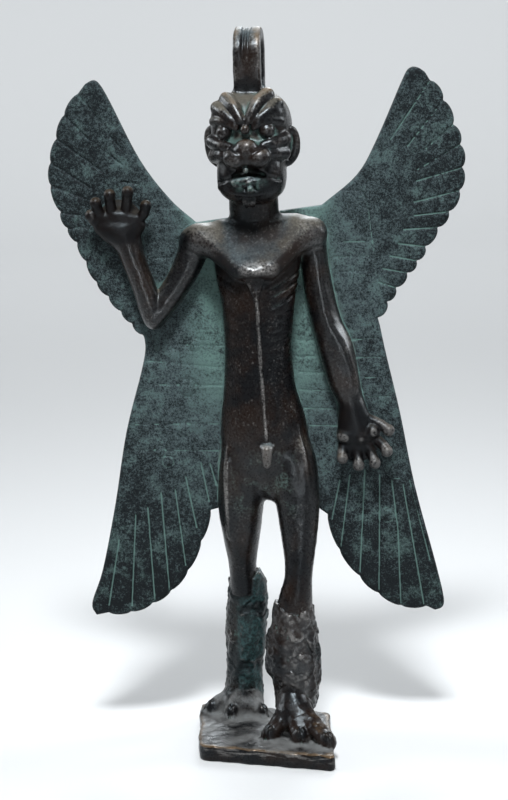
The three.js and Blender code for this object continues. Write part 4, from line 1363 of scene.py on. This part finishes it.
def backdrop(stage):
    """A floor that curves up into a wall all round: a flat disc, a quarter circle and a straight rise, turned
    about an upright line that stands in front of the figure."""
    hole, reach, radius, rise, centre, turns = 0.02, 1.5, 0.5, 1.4, -0.6, 96
    bend = np.linspace(0, np.pi / 2, 24)
    out = np.r_[hole, reach + radius * np.sin(bend), reach + radius]
    up = np.r_[0, radius * (1 - np.cos(bend)), radius + rise]
    angle = np.arange(turns) * 2 * np.pi / turns
    x, y = np.outer(np.cos(angle), out), centre + np.outer(np.sin(angle), out)
    vertices = np.stack([x.ravel(), y.ravel(), np.tile(up, turns)], 1)
    n = len(out)
    start = (np.arange(turns)[:, None] * n + np.arange(n - 1)).ravel()
    after = (start + n) % (turns * n)
    quads = np.stack([start, start + 1, after + 1, after], 1)
    floor = bpy.data.objects.new("floor", mesh_from("floor", vertices, quads))
    floor.data.shade_smooth()
    material, sheet = blank("floor_paper")
    paper = sheet.node("ShaderNodeBsdfPrincipled", {}, {"Base Color": rgba(stage.floor), "Roughness": 0.9})
    sheet.node("ShaderNodeOutputMaterial", {}, {"Surface": paper})
    floor.data.materials.append(material)
    bpy.context.scene.collection.objects.link(floor)
    return floor


def softbox(name, place, aim, size, power, spread, colour):
    """An oblong light that faces a point, with its beam held within an angle in degrees."""
    light = bpy.data.lights.new(name, "AREA")
    light.shape = "RECTANGLE"
    light.size, light.size_y = size
    light.energy = power
    light.color = colour
    light.spread = math.radians(spread)
    lamp = bpy.data.objects.new(name, light)
    lamp.location = place
    lamp.rotation_euler = (Vector(aim) - Vector(place)).to_track_quat("-Z", "Y").to_euler()
    bpy.context.scene.collection.objects.link(lamp)


def photo_camera():
    """The photograph's view: from in front and a little above, rolled a little, with a long lens."""
    tilt, roll, far = math.radians(11), math.radians(1.5), 0.450
    aim = np.array([-0.59, 0.4, 74.16]) * MM
    forward = np.array([0, math.cos(tilt), -math.sin(tilt)])
    level, lift = np.array([1.0, 0, 0]), np.array([0, math.sin(tilt), math.cos(tilt)])
    right = level * math.cos(roll) - lift * math.sin(roll)
    up = lift * math.cos(roll) + level * math.sin(roll)
    data = bpy.data.cameras.new("photo_view")
    data.lens = 98.3
    data.sensor_width = 36
    data.clip_start = 0.01
    camera = bpy.data.objects.new("photo_view", data)
    turn = np.eye(4)
    turn[:3, :3] = np.stack([right, up, -forward], 1)
    turn[:3, 3] = aim - forward * far
    camera.matrix_world = Matrix(turn.tolist())
    bpy.context.scene.collection.objects.link(camera)
    bpy.context.scene.camera = camera


def surroundings(stage):
    """An even, faint light from all round."""
    world = bpy.data.worlds.new("studio")
    world.use_nodes = True
    background = world.node_tree.nodes["Background"]
    background.inputs["Color"].default_value = rgba(stage.ambient)
    background.inputs["Strength"].default_value = stage.ambient_strength
    bpy.context.scene.world = world


# Settings, operators and panel


def length(name, description, default):
    """A setting in metres."""
    return bpy.props.FloatProperty(
        name=name, description=description, default=default, unit="LENGTH", precision=5
    )


def tint(name, description, default):
    """A setting that is a colour."""
    return bpy.props.FloatVectorProperty(
        name=name, description=description, default=default, subtype="COLOR", size=3, min=0, max=1
    )


class PAZUZU_PG_sizes(bpy.types.PropertyGroup):
    """Sizes of the casting and of its mesh"""

    step: length("Grid step", "Spacing of the grid that the casting is worked out on", 0.00022)
    triangles: bpy.props.IntProperty(
        name="Triangles", description="About how many triangles the mesh keeps", default=191000
    )
    plate_front: length("Wing front", "How far back the wings' front face lies", 0.0074)
    plate_back: length("Wing back", "How far back the wings' rear face lies", 0.0098)
    engraving: length("Engraving", "Depth of the feather lines", 0.00034)
    head_turn: bpy.props.FloatProperty(
        name="Head turn",
        description="Turn of the head to the viewer's left",
        default=math.radians(8),
        subtype="ANGLE",
    )

    def head_turn_degrees(self):
        """The turn in degrees."""
        return math.degrees(self.head_turn)


class PAZUZU_PG_patina(bpy.types.PropertyGroup):
    """Colours of the metal, of what lies on it, and of the painted light on it"""

    dark: tint("Dark", "Smooth bronze, almost black", (0.003, 0.0028, 0.0032))
    brown: tint("Brown", "Warmer bronze in broad clouds", (0.0105, 0.0058, 0.004))
    # A grey film, also used as painted light from above and as painted highlights on the wings' rims
    film_and_light: tint("Film", "Grey film on what faces up", (0.085, 0.105, 0.112))
    ochre: tint("Ochre", "Worn crests that face up", (0.16, 0.1, 0.05))
    # Rubbed metal on sharp edges, and also the colour of the painted highlights
    bare_and_highlight: tint("Bare", "Rubbed metal on sharp edges", (0.26, 0.25, 0.24))
    wing_dark: tint("Wing, dark", "Dark ground of the wings", (0.0045, 0.0052, 0.0056))
    wing_light: tint("Wing, light", "Pale grain of the wings", (0.053, 0.073, 0.076))
    shank: tint("Shank", "Blue-green crust of the back shank", (0.022, 0.046, 0.047))
    green: tint("Green", "Pale green in lines and hollows", (0.09, 0.152, 0.136))
    # Also mixed into the painted light from above
    tan: tint("Tan", "Pale earth along the limbs", (0.085, 0.076, 0.06))
    dust: tint("Dust", "Pale dust on the plinth and toes", (0.115, 0.116, 0.114))
    glint: tint("Glint", "Tint of the highlights", (0.78, 0.92, 1.0))


class PAZUZU_PG_stage(bpy.types.PropertyGroup):
    """Colours of the floor and the light"""

    floor: tint("Floor", "Pale paper under and behind the figure", (0.52, 0.52, 0.52))
    ambient: tint("Ambient", "Light from all round", (0.93, 0.97, 1.0))
    ambient_strength: bpy.props.FloatProperty(
        name="Ambient strength", description="Strength of that light", default=0.12
    )
    light: tint("Light", "Colour of the softboxes", (0.93, 0.97, 1.0))


class PAZUZU_OT_figure(bpy.types.Operator):
    """Build the figure's mesh and give it its patina and painted light"""

    bl_idname = "pazuzu.figure"
    bl_label = "Bronze figure"

    def execute(self, context):
        piece = build_figure(context.scene.pazuzu_sizes)
        piece.data.materials.append(bronze(context.scene.pazuzu_patina))
        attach(piece, "root")
        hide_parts("pazuzu_figure")
        return {"FINISHED"}


class PAZUZU_OT_stage(bpy.types.Operator):
    """Set up the floor, the lights and the camera"""

    bl_idname = "pazuzu.stage"
    bl_label = "Stage"

    def execute(self, context):
        stage = context.scene.pazuzu_stage
        backdrop(stage)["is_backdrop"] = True
        for box in SOFTBOXES:
            softbox(*box, stage.light)
        context.scene.view_settings.view_transform = "Standard"
        surroundings(stage)
        photo_camera()
        return {"FINISHED"}


class PAZUZU_PT_panel(bpy.types.Panel):
    """Lists the settings and the steps in order"""

    bl_idname = "PAZUZU_PT_panel"
    bl_label = "Pazuzu figure"
    bl_space_type = "VIEW_3D"
    bl_region_type = "UI"
    bl_category = "Pazuzu"

    def draw(self, context):
        for group in (context.scene.pazuzu_sizes, context.scene.pazuzu_patina, context.scene.pazuzu_stage):
            box = self.layout.box()
            for name in group.bl_rna.properties.keys():
                if name not in ("rna_type", "name"):
                    box.prop(group, name)
        for operator in (PAZUZU_OT_figure, PAZUZU_OT_stage):
            self.layout.operator(operator.bl_idname)


CLASSES = (
    PAZUZU_PG_sizes,
    PAZUZU_PG_patina,
    PAZUZU_PG_stage,
    PAZUZU_OT_figure,
    PAZUZU_OT_stage,
    PAZUZU_PT_panel,
)


def register():
    """Makes the settings, the operators and the panel known."""
    for cls in CLASSES:
        bpy.utils.register_class(cls)
    bpy.types.Scene.pazuzu_sizes = bpy.props.PointerProperty(type=PAZUZU_PG_sizes)
    bpy.types.Scene.pazuzu_patina = bpy.props.PointerProperty(type=PAZUZU_PG_patina)
    bpy.types.Scene.pazuzu_stage = bpy.props.PointerProperty(type=PAZUZU_PG_stage)


def unregister():
    """Takes them all away again."""
    del bpy.types.Scene.pazuzu_stage
    del bpy.types.Scene.pazuzu_patina
    del bpy.types.Scene.pazuzu_sizes
    for cls in reversed(CLASSES):
        bpy.utils.unregister_class(cls)


def main():
    """Builds the figure and its stage."""
    register()
    bpy.ops.pazuzu.figure()
    bpy.ops.pazuzu.stage()
    sizes = {"cad": CAD_BOX, "visual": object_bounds()}
    plain = {name: [[float(v) for v in corner] for corner in box] for name, box in sizes.items()}


if __name__ == "__main__":
    main()
